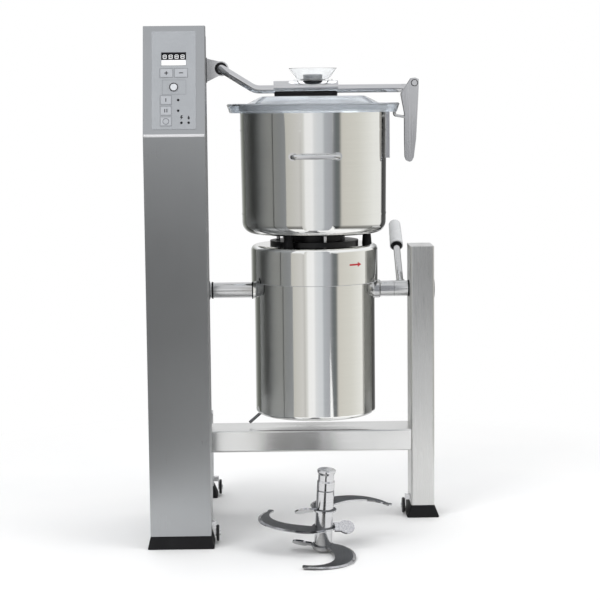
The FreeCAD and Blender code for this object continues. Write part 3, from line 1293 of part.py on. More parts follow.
def knife_hub():
    """Tube that drops over the drive shaft, with spacers between the blades and a flared cap."""
    hub = upright(KNIFE_HUB_R, 0, KNIFE_H - 12)
    hub = hub.fuse(upright(KNIFE_SLEEVE_R + 3, 0, BLADE_Z[0]))
    for lower, upper in zip(BLADE_Z[:-1], BLADE_Z[1:]):
        hub = hub.fuse(upright(KNIFE_SLEEVE_R, lower + BLADE_T, upper))
    clamp_top = BLADE_Z[2] + BLADE_T + 45
    hub = hub.fuse(upright(KNIFE_SLEEVE_R, BLADE_Z[2] + BLADE_T, clamp_top))
    cap = turned([(0, clamp_top), (KNIFE_HUB_R, clamp_top), (KNIFE_SLEEVE_R, clamp_top + 3),
                  (KNIFE_SLEEVE_R, clamp_top + 22), (KNIFE_HUB_R, clamp_top + 26),
                  (KNIFE_HUB_R, KNIFE_H - 12),
                  (KNIFE_CAP_R, KNIFE_H - 6), (KNIFE_CAP_R, KNIFE_H - 2), (KNIFE_CAP_R - 2, KNIFE_H),
                  (0, KNIFE_H)])
    hub = hub.fuse(cap)
    hub = hub.cut(upright(KNIFE_BORE_R, -1, KNIFE_H - 10))
    return standing(hub.removeSplitter())


nodes = {
    "column_spine": column_spine(),
    "column_casing": column_casing(),
    "rear_service_panel": rear_service_panel(),
    "control_plate": control_plate(),
    "panel_lenses": panel_lenses(),
    "control_board": control_board(),
    "motor_controller": motor_controller(),
    "crossbar": crossbar(),
    "right_post": right_post(),
    "rear_leg": rear_leg(),
    "foot_pads": foot_pads(),
    "left_trunnion_tube": left_trunnion_tube(),
    "frame_seals": frame_seals(),
    "bearing_bushes": group(post_bushes() + [arm_bush()]),
    "axle_end_cap": axle_end_cap(),
    "arm_bracket": arm_bracket(),
    "cable_gland": cable_gland(),
    "wheel_brackets": group([wheel_bracket(name) for name in WHEEL_SPOTS]),
    "motor_housing": motor_housing(),
    "motor_cap": motor_cap(),
    "bottom_cover": bottom_cover(),
    "motor_frame": motor_frame(),
    "motor_stator": motor_stator(),
    "motor_bearings": motor_bearings(),
    "drive_shaft": drive_shaft(),
    "bayonet_ring": bayonet_ring(),
    "bowl_rest_pads": bowl_rest_pads(),
    "drain_spout": drain_spout(),
    "left_bush": left_bush(),
    "right_axle": right_axle(),
    "lever_collar": lever_collar(),
    "tilt_lever_rod": tilt_lever_rod(),
    "tilt_lever_grip": tilt_lever_grip(),
    "bowl": bowl(),
    "bowl_handles": bowl_handles(),
    "bowl_catch": bowl_catch(),
    "bayonet_pins": bayonet_pins(),
    "lid_arm": lid_arm(),
    "lid_saddle": lid_saddle(),
    "lid": lid(),
    "lid_seal": lid_seal(),
    "funnel_knob": funnel_knob(),
    "wiper_spindle": wiper_spindle(),
    "wiper_blade": wiper_blade(),
    "latch_lever": latch_lever(),
    "latch_pin": latch_pin(),
    "latch_bail": latch_bail(),
}
knife_nodes = {
    "knife_hub": knife_hub(),
    "knife_lower": knife(0),
    "knife_middle": knife(1),
    "knife_upper": knife(2),
}
lowest = min(shape.optimalBoundingBox(False).ZMin for shape in knife_nodes.values())
for node_name, shape in knife_nodes.items():
    shape.translate(V(0, 0, -lowest))
    nodes[node_name] = shape
for key_name in KEY_PLACES:
    nodes[key_name] = key(key_name)
for wheel_name in WHEEL_SPOTS:
    nodes["transport_wheel_" + wheel_name] = transport_wheel(wheel_name)

# The origin is the middle of the whole machine's footprint, on the floor.
extent = group(list(nodes.values())).optimalBoundingBox(False)
shift = V(-(extent.XMin + extent.XMax) / 2, -(extent.YMin + extent.YMax) / 2, 0)

os.makedirs("parts", exist_ok=True)
for node_name, shape in nodes.items():
    shape.translate(shift)
    shape.exportStep("parts/" + node_name + ".step")
print("solids", sum(len(shape.Solids) for shape in nodes.values()), "nodes", len(nodes))
print("box", extent.XMin, extent.XMax, extent.YMin, extent.YMax, extent.ZMin, extent.ZMax)
print("shift", shift.x, shift.y)
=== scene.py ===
import math

import bmesh
import bpy
from mathutils import Matrix, Vector


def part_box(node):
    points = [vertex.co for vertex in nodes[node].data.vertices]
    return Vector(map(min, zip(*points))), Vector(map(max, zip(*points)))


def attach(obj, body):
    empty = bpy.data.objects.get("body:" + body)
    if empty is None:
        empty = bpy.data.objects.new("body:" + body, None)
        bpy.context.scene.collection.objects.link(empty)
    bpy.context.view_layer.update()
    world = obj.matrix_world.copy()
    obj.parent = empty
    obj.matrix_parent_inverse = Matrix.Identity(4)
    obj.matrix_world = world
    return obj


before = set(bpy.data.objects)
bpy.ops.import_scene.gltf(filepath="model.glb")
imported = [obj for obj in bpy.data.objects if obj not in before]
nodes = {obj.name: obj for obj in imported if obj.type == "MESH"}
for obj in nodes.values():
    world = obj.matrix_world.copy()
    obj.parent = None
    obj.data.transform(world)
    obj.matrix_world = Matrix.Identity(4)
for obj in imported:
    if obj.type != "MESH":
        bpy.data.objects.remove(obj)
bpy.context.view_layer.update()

# The machine is set out from the bowl's axis and the floor. Every piece below takes its place
# from the steel parts it is fixed to.
bowl_lo, bowl_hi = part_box("bowl")
AXIS_X = (bowl_lo[0] + bowl_hi[0]) / 2
AXIS_Y = (bowl_lo[1] + bowl_hi[1]) / 2


# Studio: a round white floor under even light from three soft boxes, in a white room. Polished
# steel needs something to mirror, so in mirrors the room has darker and paler walls, a bright
# ceiling and a bright stretch of wall in front at eye level.
def node_tree(material):
    material.use_nodes = True
    tree = material.node_tree
    tree.nodes.clear()
    return tree


def add_node(tree, kind, **settings):
    made = tree.nodes.new(kind)
    for name, value in settings.items():
        if name == "inputs":
            for socket, number in value.items():
                made.inputs[socket].default_value = number
        else:
            setattr(made, name, value)
    return made


def set_stops(ramp, stops):
    elements = ramp.color_ramp.elements
    while len(elements) < len(stops):
        elements.new(0.5)
    for element, (place, colour) in zip(elements, stops):
        element.position = place
        element.color = (colour + (1,)) if len(colour) == 3 else colour


world = bpy.data.worlds.new("white_room")
bpy.context.scene.world = world
world.use_nodes = True
tree = world.node_tree
tree.nodes.clear()
link = tree.links.new
coords = add_node(tree, "ShaderNodeTexCoord")
split = add_node(tree, "ShaderNodeSeparateXYZ")
link(coords.outputs["Generated"], split.inputs[0])
toward = add_node(tree, "ShaderNodeMath", operation="MULTIPLY", inputs={1: -1.0})
link(split.outputs["Y"], toward.inputs[0])
around = add_node(tree, "ShaderNodeMath", operation="ARCTAN2")
link(split.outputs["X"], around.inputs[0])
link(toward.outputs[0], around.inputs[1])
turn = add_node(tree, "ShaderNodeMapRange", inputs={1: -math.pi, 2: math.pi, 3: 0.0, 4: 1.0})
link(around.outputs[0], turn.inputs[0])
walls = add_node(tree, "ShaderNodeValToRGB")
set_stops(walls, [
    (0.00, (0.80, 0.80, 0.80)), (0.06, (0.36, 0.37, 0.35)), (0.08, (0.20, 0.21, 0.19)),
    (0.105, (0.12, 0.125, 0.115)), (0.145, (0.085, 0.09, 0.08)), (0.178, (0.07, 0.075, 0.06)),
    (0.22, (0.075, 0.078, 0.055)), (0.255, (0.10, 0.10, 0.07)), (0.300, (0.125, 0.12, 0.085)),
    (0.316, (0.52, 0.51, 0.45)), (0.38, (0.58, 0.57, 0.53)), (0.43, (0.66, 0.65, 0.63)),
    (0.445, (0.55, 0.54, 0.52)), (0.455, (0.12, 0.12, 0.12)), (0.565, (0.12, 0.12, 0.12)),
    (0.575, (0.40, 0.41, 0.43)), (0.588, (0.20, 0.21, 0.22)), (0.598, (0.15, 0.165, 0.17)),
    (0.610, (0.17, 0.18, 0.18)), (0.622, (0.66, 0.64, 0.59)), (0.70, (0.72, 0.71, 0.66)),
    (0.80, (0.90, 0.90, 0.87)), (0.868, (0.92, 0.92, 0.90)), (0.880, (0.06, 0.06, 0.06)),
    (0.93, (0.10, 0.10, 0.10)), (0.97, (0.25, 0.25, 0.25)), (0.99, (0.80, 0.80, 0.80)),
])
link(turn.outputs[0], walls.inputs[0])
half_height = add_node(tree, "ShaderNodeMath", operation="MULTIPLY_ADD", inputs={1: 0.5, 2: 0.5})
link(split.outputs["Z"], half_height.inputs[0])
depth = add_node(tree, "ShaderNodeValToRGB")
set_stops(depth, [(0.0, (0.40,) * 3), (0.28, (0.30,) * 3), (0.35, (0.45,) * 3), (0.40, (1.0,) * 3)])
link(half_height.outputs[0], depth.inputs[0])
wall = add_node(tree, "ShaderNodeMix", data_type="RGBA", blend_type="MULTIPLY", inputs={0: 1.0})
link(walls.outputs[0], wall.inputs[6])
link(depth.outputs[0], wall.inputs[7])
in_front = add_node(tree, "ShaderNodeValToRGB")
set_stops(in_front, [(0.43, (0.0,) * 3), (0.45, (1.0,) * 3), (0.57, (1.0,) * 3), (0.585, (0.0,) * 3)])
link(turn.outputs[0], in_front.inputs[0])
eye_level = add_node(tree, "ShaderNodeMapRange", inputs={1: -0.05, 2: 0.02, 3: 0.0, 4: 1.0})
link(split.outputs["Z"], eye_level.inputs[0])
window = add_node(tree, "ShaderNodeMath", operation="MULTIPLY")
link(in_front.outputs[0], window.inputs[0])
link(eye_level.outputs[0], window.inputs[1])
bright_wall = add_node(tree, "ShaderNodeMix", data_type="RGBA")
bright_wall.inputs[7].default_value = (1.25, 1.26, 1.28, 1)
link(window.outputs[0], bright_wall.inputs[0])
link(wall.outputs[2], bright_wall.inputs[6])
height = add_node(tree, "ShaderNodeMapRange", inputs={1: 0.12, 2: 0.40, 3: 0.0, 4: 1.0})
link(split.outputs["Z"], height.inputs[0])
ceiling = add_node(tree, "ShaderNodeMix", data_type="RGBA")
ceiling.inputs[7].default_value = (0.97, 0.98, 1.0, 1)
link(height.outputs[0], ceiling.inputs[0])
link(bright_wall.outputs[2], ceiling.inputs[6])
mirrored = add_node(tree, "ShaderNodeBackground", inputs={1: 1.0})
link(ceiling.outputs[2], mirrored.inputs[0])
plain = add_node(tree, "ShaderNodeBackground", inputs={0: (1, 1, 1, 1), 1: 0.62})
white = add_node(tree, "ShaderNodeBackground", inputs={0: (1, 1, 1, 1), 1: 1.0})
rays = add_node(tree, "ShaderNodeLightPath")
glossy = add_node(tree, "ShaderNodeMixShader")
seen = add_node(tree, "ShaderNodeMixShader")
direct = add_node(tree, "ShaderNodeMath", operation="MAXIMUM")
link(rays.outputs["Is Camera Ray"], direct.inputs[0])
link(rays.outputs["Is Transmission Ray"], direct.inputs[1])
link(rays.outputs["Is Glossy Ray"], glossy.inputs[0])
link(plain.outputs[0], glossy.inputs[1])
link(mirrored.outputs[0], glossy.inputs[2])
link(direct.outputs[0], seen.inputs[0])
link(glossy.outputs[0], seen.inputs[1])
link(white.outputs[0], seen.inputs[2])
room = add_node(tree, "ShaderNodeOutputWorld")
link(seen.outputs[0], room.inputs[0])

# The floor is a white disc that fades into the room far from the machine. Mirrors see it only
# in stripes beside the machine and not past its right front, so that the drum keeps dark bands.
FLOOR_R = 4.2
floor_mesh = bpy.data.meshes.new("floor")
work = bmesh.new()
bmesh.ops.create_circle(work, cap_ends=True, radius=FLOOR_R, segments=96)
work.to_mesh(floor_mesh)
work.free()
floor = bpy.data.objects.new("floor", floor_mesh)
bpy.context.collection.objects.link(floor)
floor.location = (AXIS_X - 0.05, AXIS_Y, -0.0005)
floor_paint = bpy.data.materials.new("floor_paint")
tree = node_tree(floor_paint)
link = tree.links.new
place = add_node(tree, "ShaderNodeTexCoord")
far = add_node(tree, "ShaderNodeVectorMath", operation="LENGTH")
link(place.outputs["Object"], far.inputs[0])
fade = add_node(tree, "ShaderNodeMapRange", inputs={1: 0.75, 2: 1.5, 3: 0.0, 4: 1.0})
link(far.outputs["Value"], fade.inputs[0])
speckle = add_node(tree, "ShaderNodeTexNoise", inputs={"Scale": 3.0, "Detail": 2.0})
link(place.outputs["Object"], speckle.inputs["Vector"])
tone = add_node(tree, "ShaderNodeValToRGB")
set_stops(tone, [(0.3, (0.93, 0.935, 0.94)), (0.7, (0.96, 0.96, 0.96))])
link(speckle.outputs[0], tone.inputs[0])
paint = add_node(tree, "ShaderNodeBsdfPrincipled",
                 inputs={"Roughness": 0.55, "Specular IOR Level": 0.25})
link(tone.outputs[0], paint.inputs["Base Color"])
lit_white = add_node(tree, "ShaderNodeEmission", inputs={0: (1, 1, 1, 1), 1: 1.0})
seen_far = add_node(tree, "ShaderNodeMath", operation="MULTIPLY")
rays = add_node(tree, "ShaderNodeLightPath")
link(fade.outputs[0], seen_far.inputs[0])
link(rays.outputs["Is Camera Ray"], seen_far.inputs[1])
blend = add_node(tree, "ShaderNodeMixShader")
link(seen_far.outputs[0], blend.inputs[0])
link(paint.outputs[0], blend.inputs[1])
link(lit_white.outputs[0], blend.inputs[2])
sides = add_node(tree, "ShaderNodeSeparateXYZ")
link(place.outputs["Object"], sides.inputs[0])
shifted = add_node(tree, "ShaderNodeMath", operation="ADD", inputs={1: 0.5})
link(sides.outputs["X"], shifted.inputs[0])
stripes = add_node(tree, "ShaderNodeValToRGB")
set_stops(stripes, [(0.18, (0.2,) * 3), (0.26, (1.0,) * 3), (0.36, (1.0,) * 3), (0.42, (0.0,) * 3),
                    (0.60, (0.0,) * 3), (0.70, (1.0,) * 3)])
link(shifted.outputs[0], stripes.inputs[0])
toward = add_node(tree, "ShaderNodeMath", operation="MULTIPLY", inputs={1: -1.0})
link(sides.outputs["Y"], toward.inputs[0])
bearing = add_node(tree, "ShaderNodeMath", operation="ARCTAN2")
link(sides.outputs["X"], bearing.inputs[0])
link(toward.outputs[0], bearing.inputs[1])
in_wedge = add_node(tree, "ShaderNodeMapRange", inputs={1: 0.45, 2: 0.6, 3: 1.0, 4: 0.2})
link(bearing.outputs[0], in_wedge.inputs[0])
least = add_node(tree, "ShaderNodeMath", operation="MINIMUM")
link(stripes.outputs[0], least.inputs[0])
link(in_wedge.outputs[0], least.inputs[1])
right_side = add_node(tree, "ShaderNodeMapRange", inputs={1: 0.0, 2: 1.0, 3: -0.7, 4: 2.8})
link(least.outputs[0], right_side.inputs[0])
near = add_node(tree, "ShaderNodeMath", operation="SUBTRACT")
link(far.outputs["Value"], near.inputs[0])
link(right_side.outputs[0], near.inputs[1])
mirror_fade = add_node(tree, "ShaderNodeMapRange", inputs={1: 0.9, 2: 1.4, 3: 0.0, 4: 1.0})
link(near.outputs[0], mirror_fade.inputs[0])
mirror_far = add_node(tree, "ShaderNodeMath", operation="MULTIPLY")
link(mirror_fade.outputs[0], mirror_far.inputs[0])
link(rays.outputs["Is Glossy Ray"], mirror_far.inputs[1])
see_through = add_node(tree, "ShaderNodeBsdfTransparent")
mirrored_floor = add_node(tree, "ShaderNodeMixShader")
link(mirror_far.outputs[0], mirrored_floor.inputs[0])
link(blend.outputs[0], mirrored_floor.inputs[1])
link(see_through.outputs[0], mirrored_floor.inputs[2])
link(mirrored_floor.outputs[0], add_node(tree, "ShaderNodeOutputMaterial").inputs[0])
floor.data.materials.append(floor_paint)

# A tall soft card close in front of the drum. Only mirrors see it: it gives the polished steel
# the pale band down its middle, brighter to the left.
CARD_X = (-0.190, 0.262)
CARD_Y = -0.6
CARD_Z = (0.17, 1.2)
card_mesh = bpy.data.meshes.new("front_card")
card_corners = [(CARD_X[0], CARD_Z[0]), (CARD_X[1], CARD_Z[0]), (CARD_X[1], CARD_Z[1]),
                (CARD_X[0], CARD_Z[1])]
card_mesh.from_pydata([(AXIS_X + x, AXIS_Y + CARD_Y, z) for x, z in card_corners], [], [(0, 1, 2, 3)])
card = bpy.data.objects.new("front_card", card_mesh)
bpy.context.collection.objects.link(card)
for ray in ("camera", "diffuse", "transmission", "volume_scatter", "shadow"):
    setattr(card, "visible_" + ray, False)
card_light = bpy.data.materials.new("card_light")
tree = node_tree(card_light)
link = tree.links.new
place = add_node(tree, "ShaderNodeTexCoord")
sides = add_node(tree, "ShaderNodeSeparateXYZ")
link(place.outputs["Object"], sides.inputs[0])
across = add_node(tree, "ShaderNodeMapRange",
                  inputs={1: AXIS_X + CARD_X[0], 2: AXIS_X + CARD_X[1], 3: 0.0, 4: 1.0})
link(sides.outputs["X"], across.inputs[0])
band = add_node(tree, "ShaderNodeValToRGB")
set_stops(band, [(0.0, (0.66, 0.65, 0.63)), (0.07, (0.72, 0.72, 0.70)), (0.13, (0.93, 0.93, 0.93)),
                 (0.34, (0.95, 0.95, 0.96)), (0.42, (0.76, 0.77, 0.79)), (0.55, (0.70, 0.72, 0.75)),
                 (0.66, (0.68, 0.70, 0.73)), (0.74, (0.46, 0.48, 0.51)), (1.0, (0.40, 0.41, 0.44))])
link(across.outputs[0], band.inputs[0])
glow = add_node(tree, "ShaderNodeEmission", inputs={1: 1.0})
link(band.outputs[0], glow.inputs[0])
link(glow.outputs[0], add_node(tree, "ShaderNodeOutputMaterial").inputs[0])
card_mesh.materials.append(card_light)


def soft_box(name, place, aim, width, height, power, in_mirrors=True):
    lamp = bpy.data.lights.new(name, "AREA")
    lamp.shape = "RECTANGLE"
    lamp.size = width
    lamp.size_y = height
    lamp.energy = power
    box = bpy.data.objects.new(name, lamp)
    bpy.context.collection.objects.link(box)
    box.location = place
    box.rotation_euler = (Vector(aim) - Vector(place)).to_track_quat("-Z", "Y").to_euler()
    box.visible_glossy = in_mirrors


soft_box("key_light", (AXIS_X - 2.2, AXIS_Y - 2.6, 3.2), (AXIS_X, AXIS_Y, 0.5), 2.2, 2.2, 62, False)
soft_box("fill_light", (AXIS_X + 2.8, AXIS_Y - 1.8, 2.0), (AXIS_X, AXIS_Y, 0.6), 1.8, 2.4, 34, False)
soft_box("top_light", (AXIS_X, AXIS_Y + 0.4, 3.6), (AXIS_X, AXIS_Y, 0.0), 3.0, 2.6, 48, False)

CAMERA_PX = 1770.7
CAMERA_PLACE = (-0.1103, -4.5333, 1.0709)
CAMERA_PITCH = 0.11216
CAMERA_ROLL = -0.01005
CAMERA_YAW = 0.01593
SENSOR_WIDTH = 36.0
IMAGE_WIDTH = 600.0
camera = bpy.data.cameras.new("camera")
camera.sensor_width = SENSOR_WIDTH
camera.lens = CAMERA_PX * SENSOR_WIDTH / IMAGE_WIDTH
camera_object = bpy.data.objects.new("camera", camera)
bpy.context.collection.objects.link(camera_object)
ahead = Vector((math.sin(CAMERA_YAW) * math.cos(CAMERA_PITCH),
                math.cos(CAMERA_YAW) * math.cos(CAMERA_PITCH),
                -math.sin(CAMERA_PITCH)))
level = Vector((math.cos(CAMERA_YAW), -math.sin(CAMERA_YAW), 0))
upward = level.cross(ahead)
right = level * math.cos(CAMERA_ROLL) + upward * math.sin(CAMERA_ROLL)
upward = upward * math.cos(CAMERA_ROLL) - level * math.sin(CAMERA_ROLL)
pose = Matrix((right, upward, -ahead)).transposed().to_4x4()
pose.translation = Vector((AXIS_X, AXIS_Y, 0)) + Vector(CAMERA_PLACE)
camera_object.matrix_world = pose
bpy.context.scene.camera = camera_object
bpy.context.scene.view_settings.view_transform = "Standard"


# Sheet metal and tube of the stand: stainless steel brushed along its length, with faint
# cross marks from handling. The same grain, with other values, serves every steel finish.
def new_group(name, inputs, outputs):
    group = bpy.data.node_groups.new(name, "ShaderNodeTree")
    for socket, kind, value in inputs:
        made = group.interface.new_socket(name=socket, in_out="INPUT", socket_type=kind)
        made.default_value = value
    for socket, kind in outputs:
        group.interface.new_socket(name=socket, in_out="OUTPUT", socket_type=kind)
    return group, group.nodes.new("NodeGroupInput"), group.nodes.new("NodeGroupOutput")


def grain_group():
    """Fine parallel scratches, stretched by the Stretch vector, with broad soft smudges."""
    group, given, result = new_group(
        "steel_grain",
        [("Stretch", "NodeSocketVector", (700.0, 700.0, 8.0)), ("Depth", "NodeSocketFloat", 0.5)],
        [("Scratch", "NodeSocketFloat"), ("Smudge", "NodeSocketFloat"), ("Normal", "NodeSocketVector")])
    link = group.links.new
    place = add_node(group, "ShaderNodeTexCoord")
    stretched = add_node(group, "ShaderNodeVectorMath", operation="MULTIPLY")
    link(place.outputs["Object"], stretched.inputs[0])
    link(given.outputs["Stretch"], stretched.inputs[1])
    fine = add_node(group, "ShaderNodeTexNoise", inputs={"Scale": 1.0, "Detail": 3.0, "Roughness": 0.65})
    link(stretched.outputs[0], fine.inputs["Vector"])
    broad = add_node(group, "ShaderNodeTexNoise", inputs={"Scale": 9.0, "Detail": 4.0, "Roughness": 0.6})
    link(place.outputs["Object"], broad.inputs["Vector"])
    bump = add_node(group, "ShaderNodeBump", inputs={"Distance": 0.0002})
    link(given.outputs["Depth"], bump.inputs["Strength"])
    link(fine.outputs[0], bump.inputs["Height"])
    link(fine.outputs[0], result.inputs["Scratch"])
    link(broad.outputs[0], result.inputs["Smudge"])
    link(bump.outputs[0], result.inputs["Normal"])
    return group


grain = grain_group()


def ramp_between(tree, source, low, high, from_low=0.35, from_high=0.65):
    """A value or a colour that runs from low to high as the source does."""
    ramp = add_node(tree, "ShaderNodeValToRGB")
    if isinstance(low, float):
        low, high = (low,) * 3, (high,) * 3
    set_stops(ramp, [(from_low, low), (from_high, high)])
    tree.links.new(source, ramp.inputs[0])
    return ramp.outputs[0]


def steel(name, colour, darker, rough, stretch, depth, across=0.0, turned=0.0, patchy=0.15):
    """Stainless steel with its grain along the long way of the stretch vector.

    across spreads the shine across upright grain, and turned=0.25 across level grain.
    patchy says how far hand marks change the shine."""
    material = bpy.data.materials.new(name)
    tree = node_tree(material)
    marks = add_node(tree, "ShaderNodeGroup", node_tree=grain,
                     inputs={"Stretch": stretch, "Depth": depth})
    shader = add_node(tree, "ShaderNodeBsdfPrincipled",
                      inputs={"Metallic": 1.0, "Anisotropic": across, "Anisotropic Rotation": turned})
    link = tree.links.new
    tint = ramp_between(tree, marks.outputs["Scratch"], darker, colour, 0.25, 0.75)
    link(tint, shader.inputs["Base Color"])
    fine = ramp_between(tree, marks.outputs["Scratch"], rough[0], rough[1])
    broad = ramp_between(tree, marks.outputs["Smudge"], 1.0 - patchy, 1.0 + patchy, 0.3, 0.7)
    mixed = add_node(tree, "ShaderNodeMath", operation="MULTIPLY")
    link(fine, mixed.inputs[0])
    link(broad, mixed.inputs[1])
    link(mixed.outputs[0], shader.inputs["Roughness"])
    link(marks.outputs["Normal"], shader.inputs["Normal"])
    link(shader.outputs[0], add_node(tree, "ShaderNodeOutputMaterial").inputs[0])
    return material


def dress(material, *names):
    for name in names:
        mesh = nodes[name].data
        mesh.materials.clear()
        mesh.materials.append(material)


# The column's casing, spine and service panel use the post's steel painted much darker: painted shade for the
# dark side of the room they mirror.
upright_steel_painted_shade = steel("upright_steel_painted_shade", (0.395, 0.405, 0.415), (0.382, 0.392, 0.402), (0.28, 0.31),
                        (1500.0, 1500.0, 5.0), 0.03, 0.8, 0.0, 0.03)
brushed_post = steel("brushed_post", (0.68, 0.68, 0.67), (0.63, 0.63, 0.62), (0.26, 0.33),
                     (1500.0, 1500.0, 5.0), 0.03, 0.8, 0.0, 0.03)
brushed_across = steel("brushed_across", (0.74, 0.74, 0.73), (0.68, 0.68, 0.67), (0.17, 0.24),
                       (5.0, 1500.0, 1500.0), 0.03, 0.8, 0.25, 0.03)
brushed_depth = steel("brushed_depth", (0.54, 0.55, 0.56), (0.49, 0.50, 0.51), (0.28, 0.36),
                      (1300.0, 6.0, 1300.0), 0.08)
dress(upright_steel_painted_shade, "column_casing", "column_spine", "rear_service_panel")
dress(brushed_post, "right_post")
dress(brushed_across, "crossbar")
dress(brushed_depth, "rear_leg")

# Turned and drawn steel: trunnion, axle, collar, lever, arm, shaft, bearings, pins and
# brackets, satin from the lathe with faint rings or lines. The latch lever and the bowl's catch
# are pressed from sheet.
satin_x = steel("satin_x", (0.58, 0.58, 0.58), (0.50, 0.50, 0.50), (0.10, 0.16),
                (12.0, 500.0, 500.0), 0.05)
satin_arm = steel("satin_arm", (0.60, 0.60, 0.61), (0.50, 0.50, 0.51), (0.07, 0.12),
                  (12.0, 600.0, 600.0), 0.06)
satin_plain = steel("satin_plain", (0.66, 0.66, 0.67), (0.60, 0.60, 0.61), (0.18, 0.26),
                    (120.0, 120.0, 600.0), 0.04)
pressed_sheet = steel("pressed_sheet", (0.68, 0.68, 0.69), (0.50, 0.50, 0.51), (0.16, 0.26),
                      (260.0, 260.0, 7.0), 0.10)
dress(satin_x, "left_trunnion_tube", "right_axle", "lever_collar", "tilt_lever_rod", "latch_bail")
dress(satin_arm, "lid_arm")
dress(satin_plain, "arm_bracket", "wheel_brackets", "latch_pin", "bayonet_pins", "motor_bearings",
      "drive_shaft", "bottom_cover")
dress(pressed_sheet, "latch_lever", "bowl_catch")

# Polished drum, cap and bowl: spun stainless, mirror bright, with very faint rings left by
# the roller as they were spun. The drum is a shade brighter than the bowl. The bowl's handles
# are bent and polished rod, and the drain spout is a plain pipe.
mirror_bowl = steel("mirror_bowl", (0.85, 0.85, 0.83), (0.81, 0.81, 0.79), (0.055, 0.09),
                    (4.0, 4.0, 500.0), 0.02)
mirror_drum = steel("mirror_drum", (0.90, 0.90, 0.88), (0.86, 0.86, 0.84), (0.065, 0.10),
                    (4.0, 4.0, 500.0), 0.02)
mirror_small = steel("mirror_small", (0.62, 0.62, 0.62), (0.56, 0.56, 0.56), (0.04, 0.08),
                     (30.0, 30.0, 200.0), 0.02)
dress(mirror_bowl, "bowl")
dress(mirror_drum, "motor_housing", "motor_cap")
drain_steel = steel("drain_steel", (0.30, 0.30, 0.31), (0.24, 0.24, 0.25), (0.20, 0.30),
                    (300.0, 300.0, 300.0), 0.05)
dress(mirror_small, "bowl_handles")
dress(drain_steel, "drain_spout")


# Plastics and rubber: moulded parts with a fine spark texture. The left bush is bronze, the
# motor has a core of stacked iron sheets in a cast alloy frame, and the board is lacquered.
def moulded(name, colour, lighter, rough, grain_scale, depth, coat=0.0, shine=0.5):
    material = bpy.data.materials.new(name)
    tree = node_tree(material)
    link = tree.links.new
    place = add_node(tree, "ShaderNodeTexCoord")
    texture = add_node(tree, "ShaderNodeTexNoise", inputs={"Scale": grain_scale, "Detail": 3.0})
    link(place.outputs["Object"], texture.inputs["Vector"])
    wear = add_node(tree, "ShaderNodeTexNoise", inputs={"Scale": 14.0, "Detail": 5.0, "Roughness": 0.7})
    link(place.outputs["Object"], wear.inputs["Vector"])
    shader = add_node(tree, "ShaderNodeBsdfPrincipled",
                      inputs={"Coat Weight": coat, "Specular IOR Level": shine})
    link(ramp_between(tree, wear.outputs[0], colour, lighter, 0.42, 0.75), shader.inputs["Base Color"])
    link(ramp_between(tree, wear.outputs[0], rough[0], rough[1]), shader.inputs["Roughness"])
    bump = add_node(tree, "ShaderNodeBump", inputs={"Strength": depth, "Distance": 0.0003})
    link(texture.outputs[0], bump.inputs["Height"])
    link(bump.outputs[0], shader.inputs["Normal"])
    link(shader.outputs[0], add_node(tree, "ShaderNodeOutputMaterial").inputs[0])
    return material


black_rubber = moulded("black_rubber", (0.006, 0.006, 0.007), (0.016, 0.016, 0.017), (0.55, 0.75),
                       900.0, 0.3, shine=0.2)
black_plastic = moulded("black_plastic", (0.006, 0.006, 0.007), (0.014, 0.014, 0.015), (0.28, 0.42),
                        1400.0, 0.12, shine=0.3)
grey_plastic = moulded("grey_plastic", (0.22, 0.23, 0.24), (0.27, 0.28, 0.29), (0.30, 0.45), 1400.0, 0.15)
grip_plastic = moulded("grip_plastic", (0.62, 0.63, 0.64), (0.68, 0.69, 0.70), (0.22, 0.34), 1400.0, 0.1)
bronze = moulded("bronze", (0.36, 0.22, 0.10), (0.42, 0.27, 0.13), (0.30, 0.45), 600.0, 0.1)
iron = moulded("iron", (0.10, 0.10, 0.105), (0.14, 0.14, 0.14), (0.45, 0.6), 500.0, 0.4)
cast_alloy = moulded("cast_alloy", (0.42, 0.43, 0.44), (0.48, 0.49, 0.50), (0.45, 0.6), 350.0, 0.5)
board_lacquer = moulded("board_lacquer", (0.02, 0.13, 0.06), (0.03, 0.17, 0.08), (0.25, 0.35), 500.0, 0.1)
dress(black_rubber, "foot_pads", "frame_seals", "bowl_rest_pads", "lid_saddle")
dress(black_plastic, "bearing_bushes", "axle_end_cap", "cable_gland", "bayonet_ring", "transport_wheel_front",
      "transport_wheel_right", "transport_wheel_rear")
dress(grey_plastic, "lid_seal", "wiper_spindle", "wiper_blade")
dress(grip_plastic, "tilt_lever_grip")
dress(bronze, "left_bush")
dress(iron, "motor_stator")
dress(cast_alloy, "motor_frame", "motor_controller")
dress(board_lacquer, "control_board")


# Clear polycarbonate of the lid and the cup, a little blue where it is thick. Washing has left
# the lid with a slight haze.
def clear_moulding(name, tint, rough, ior, clear):
    material = bpy.data.materials.new(name)
    tree = node_tree(material)
    link = tree.links.new
    place = add_node(tree, "ShaderNodeTexCoord")
    haze = add_node(tree, "ShaderNodeTexNoise", inputs={"Scale": 22.0, "Detail": 5.0, "Roughness": 0.7})
    link(place.outputs["Object"], haze.inputs["Vector"])
    shader = add_node(tree, "ShaderNodeBsdfPrincipled",
                      inputs={"Metallic": 0.0, "Transmission Weight": clear, "IOR": ior})
    link(ramp_between(tree, haze.outputs[0], tint, tuple(min(1.0, c * 1.04) for c in tint)),
         shader.inputs["Base Color"])
    link(ramp_between(tree, haze.outputs[0], rough, rough * 2.5), shader.inputs["Roughness"])
    link(shader.outputs[0], add_node(tree, "ShaderNodeOutputMaterial").inputs[0])
    return material


lid_clear = clear_moulding("lid_clear", (0.86, 0.905, 0.955), 0.015, 1.46, 0.80)
cup_clear = clear_moulding("cup_clear", (0.95, 0.96, 0.97), 0.02, 1.28, 0.97)
dress(lid_clear, "lid")
dress(cup_clear, "funnel_knob")
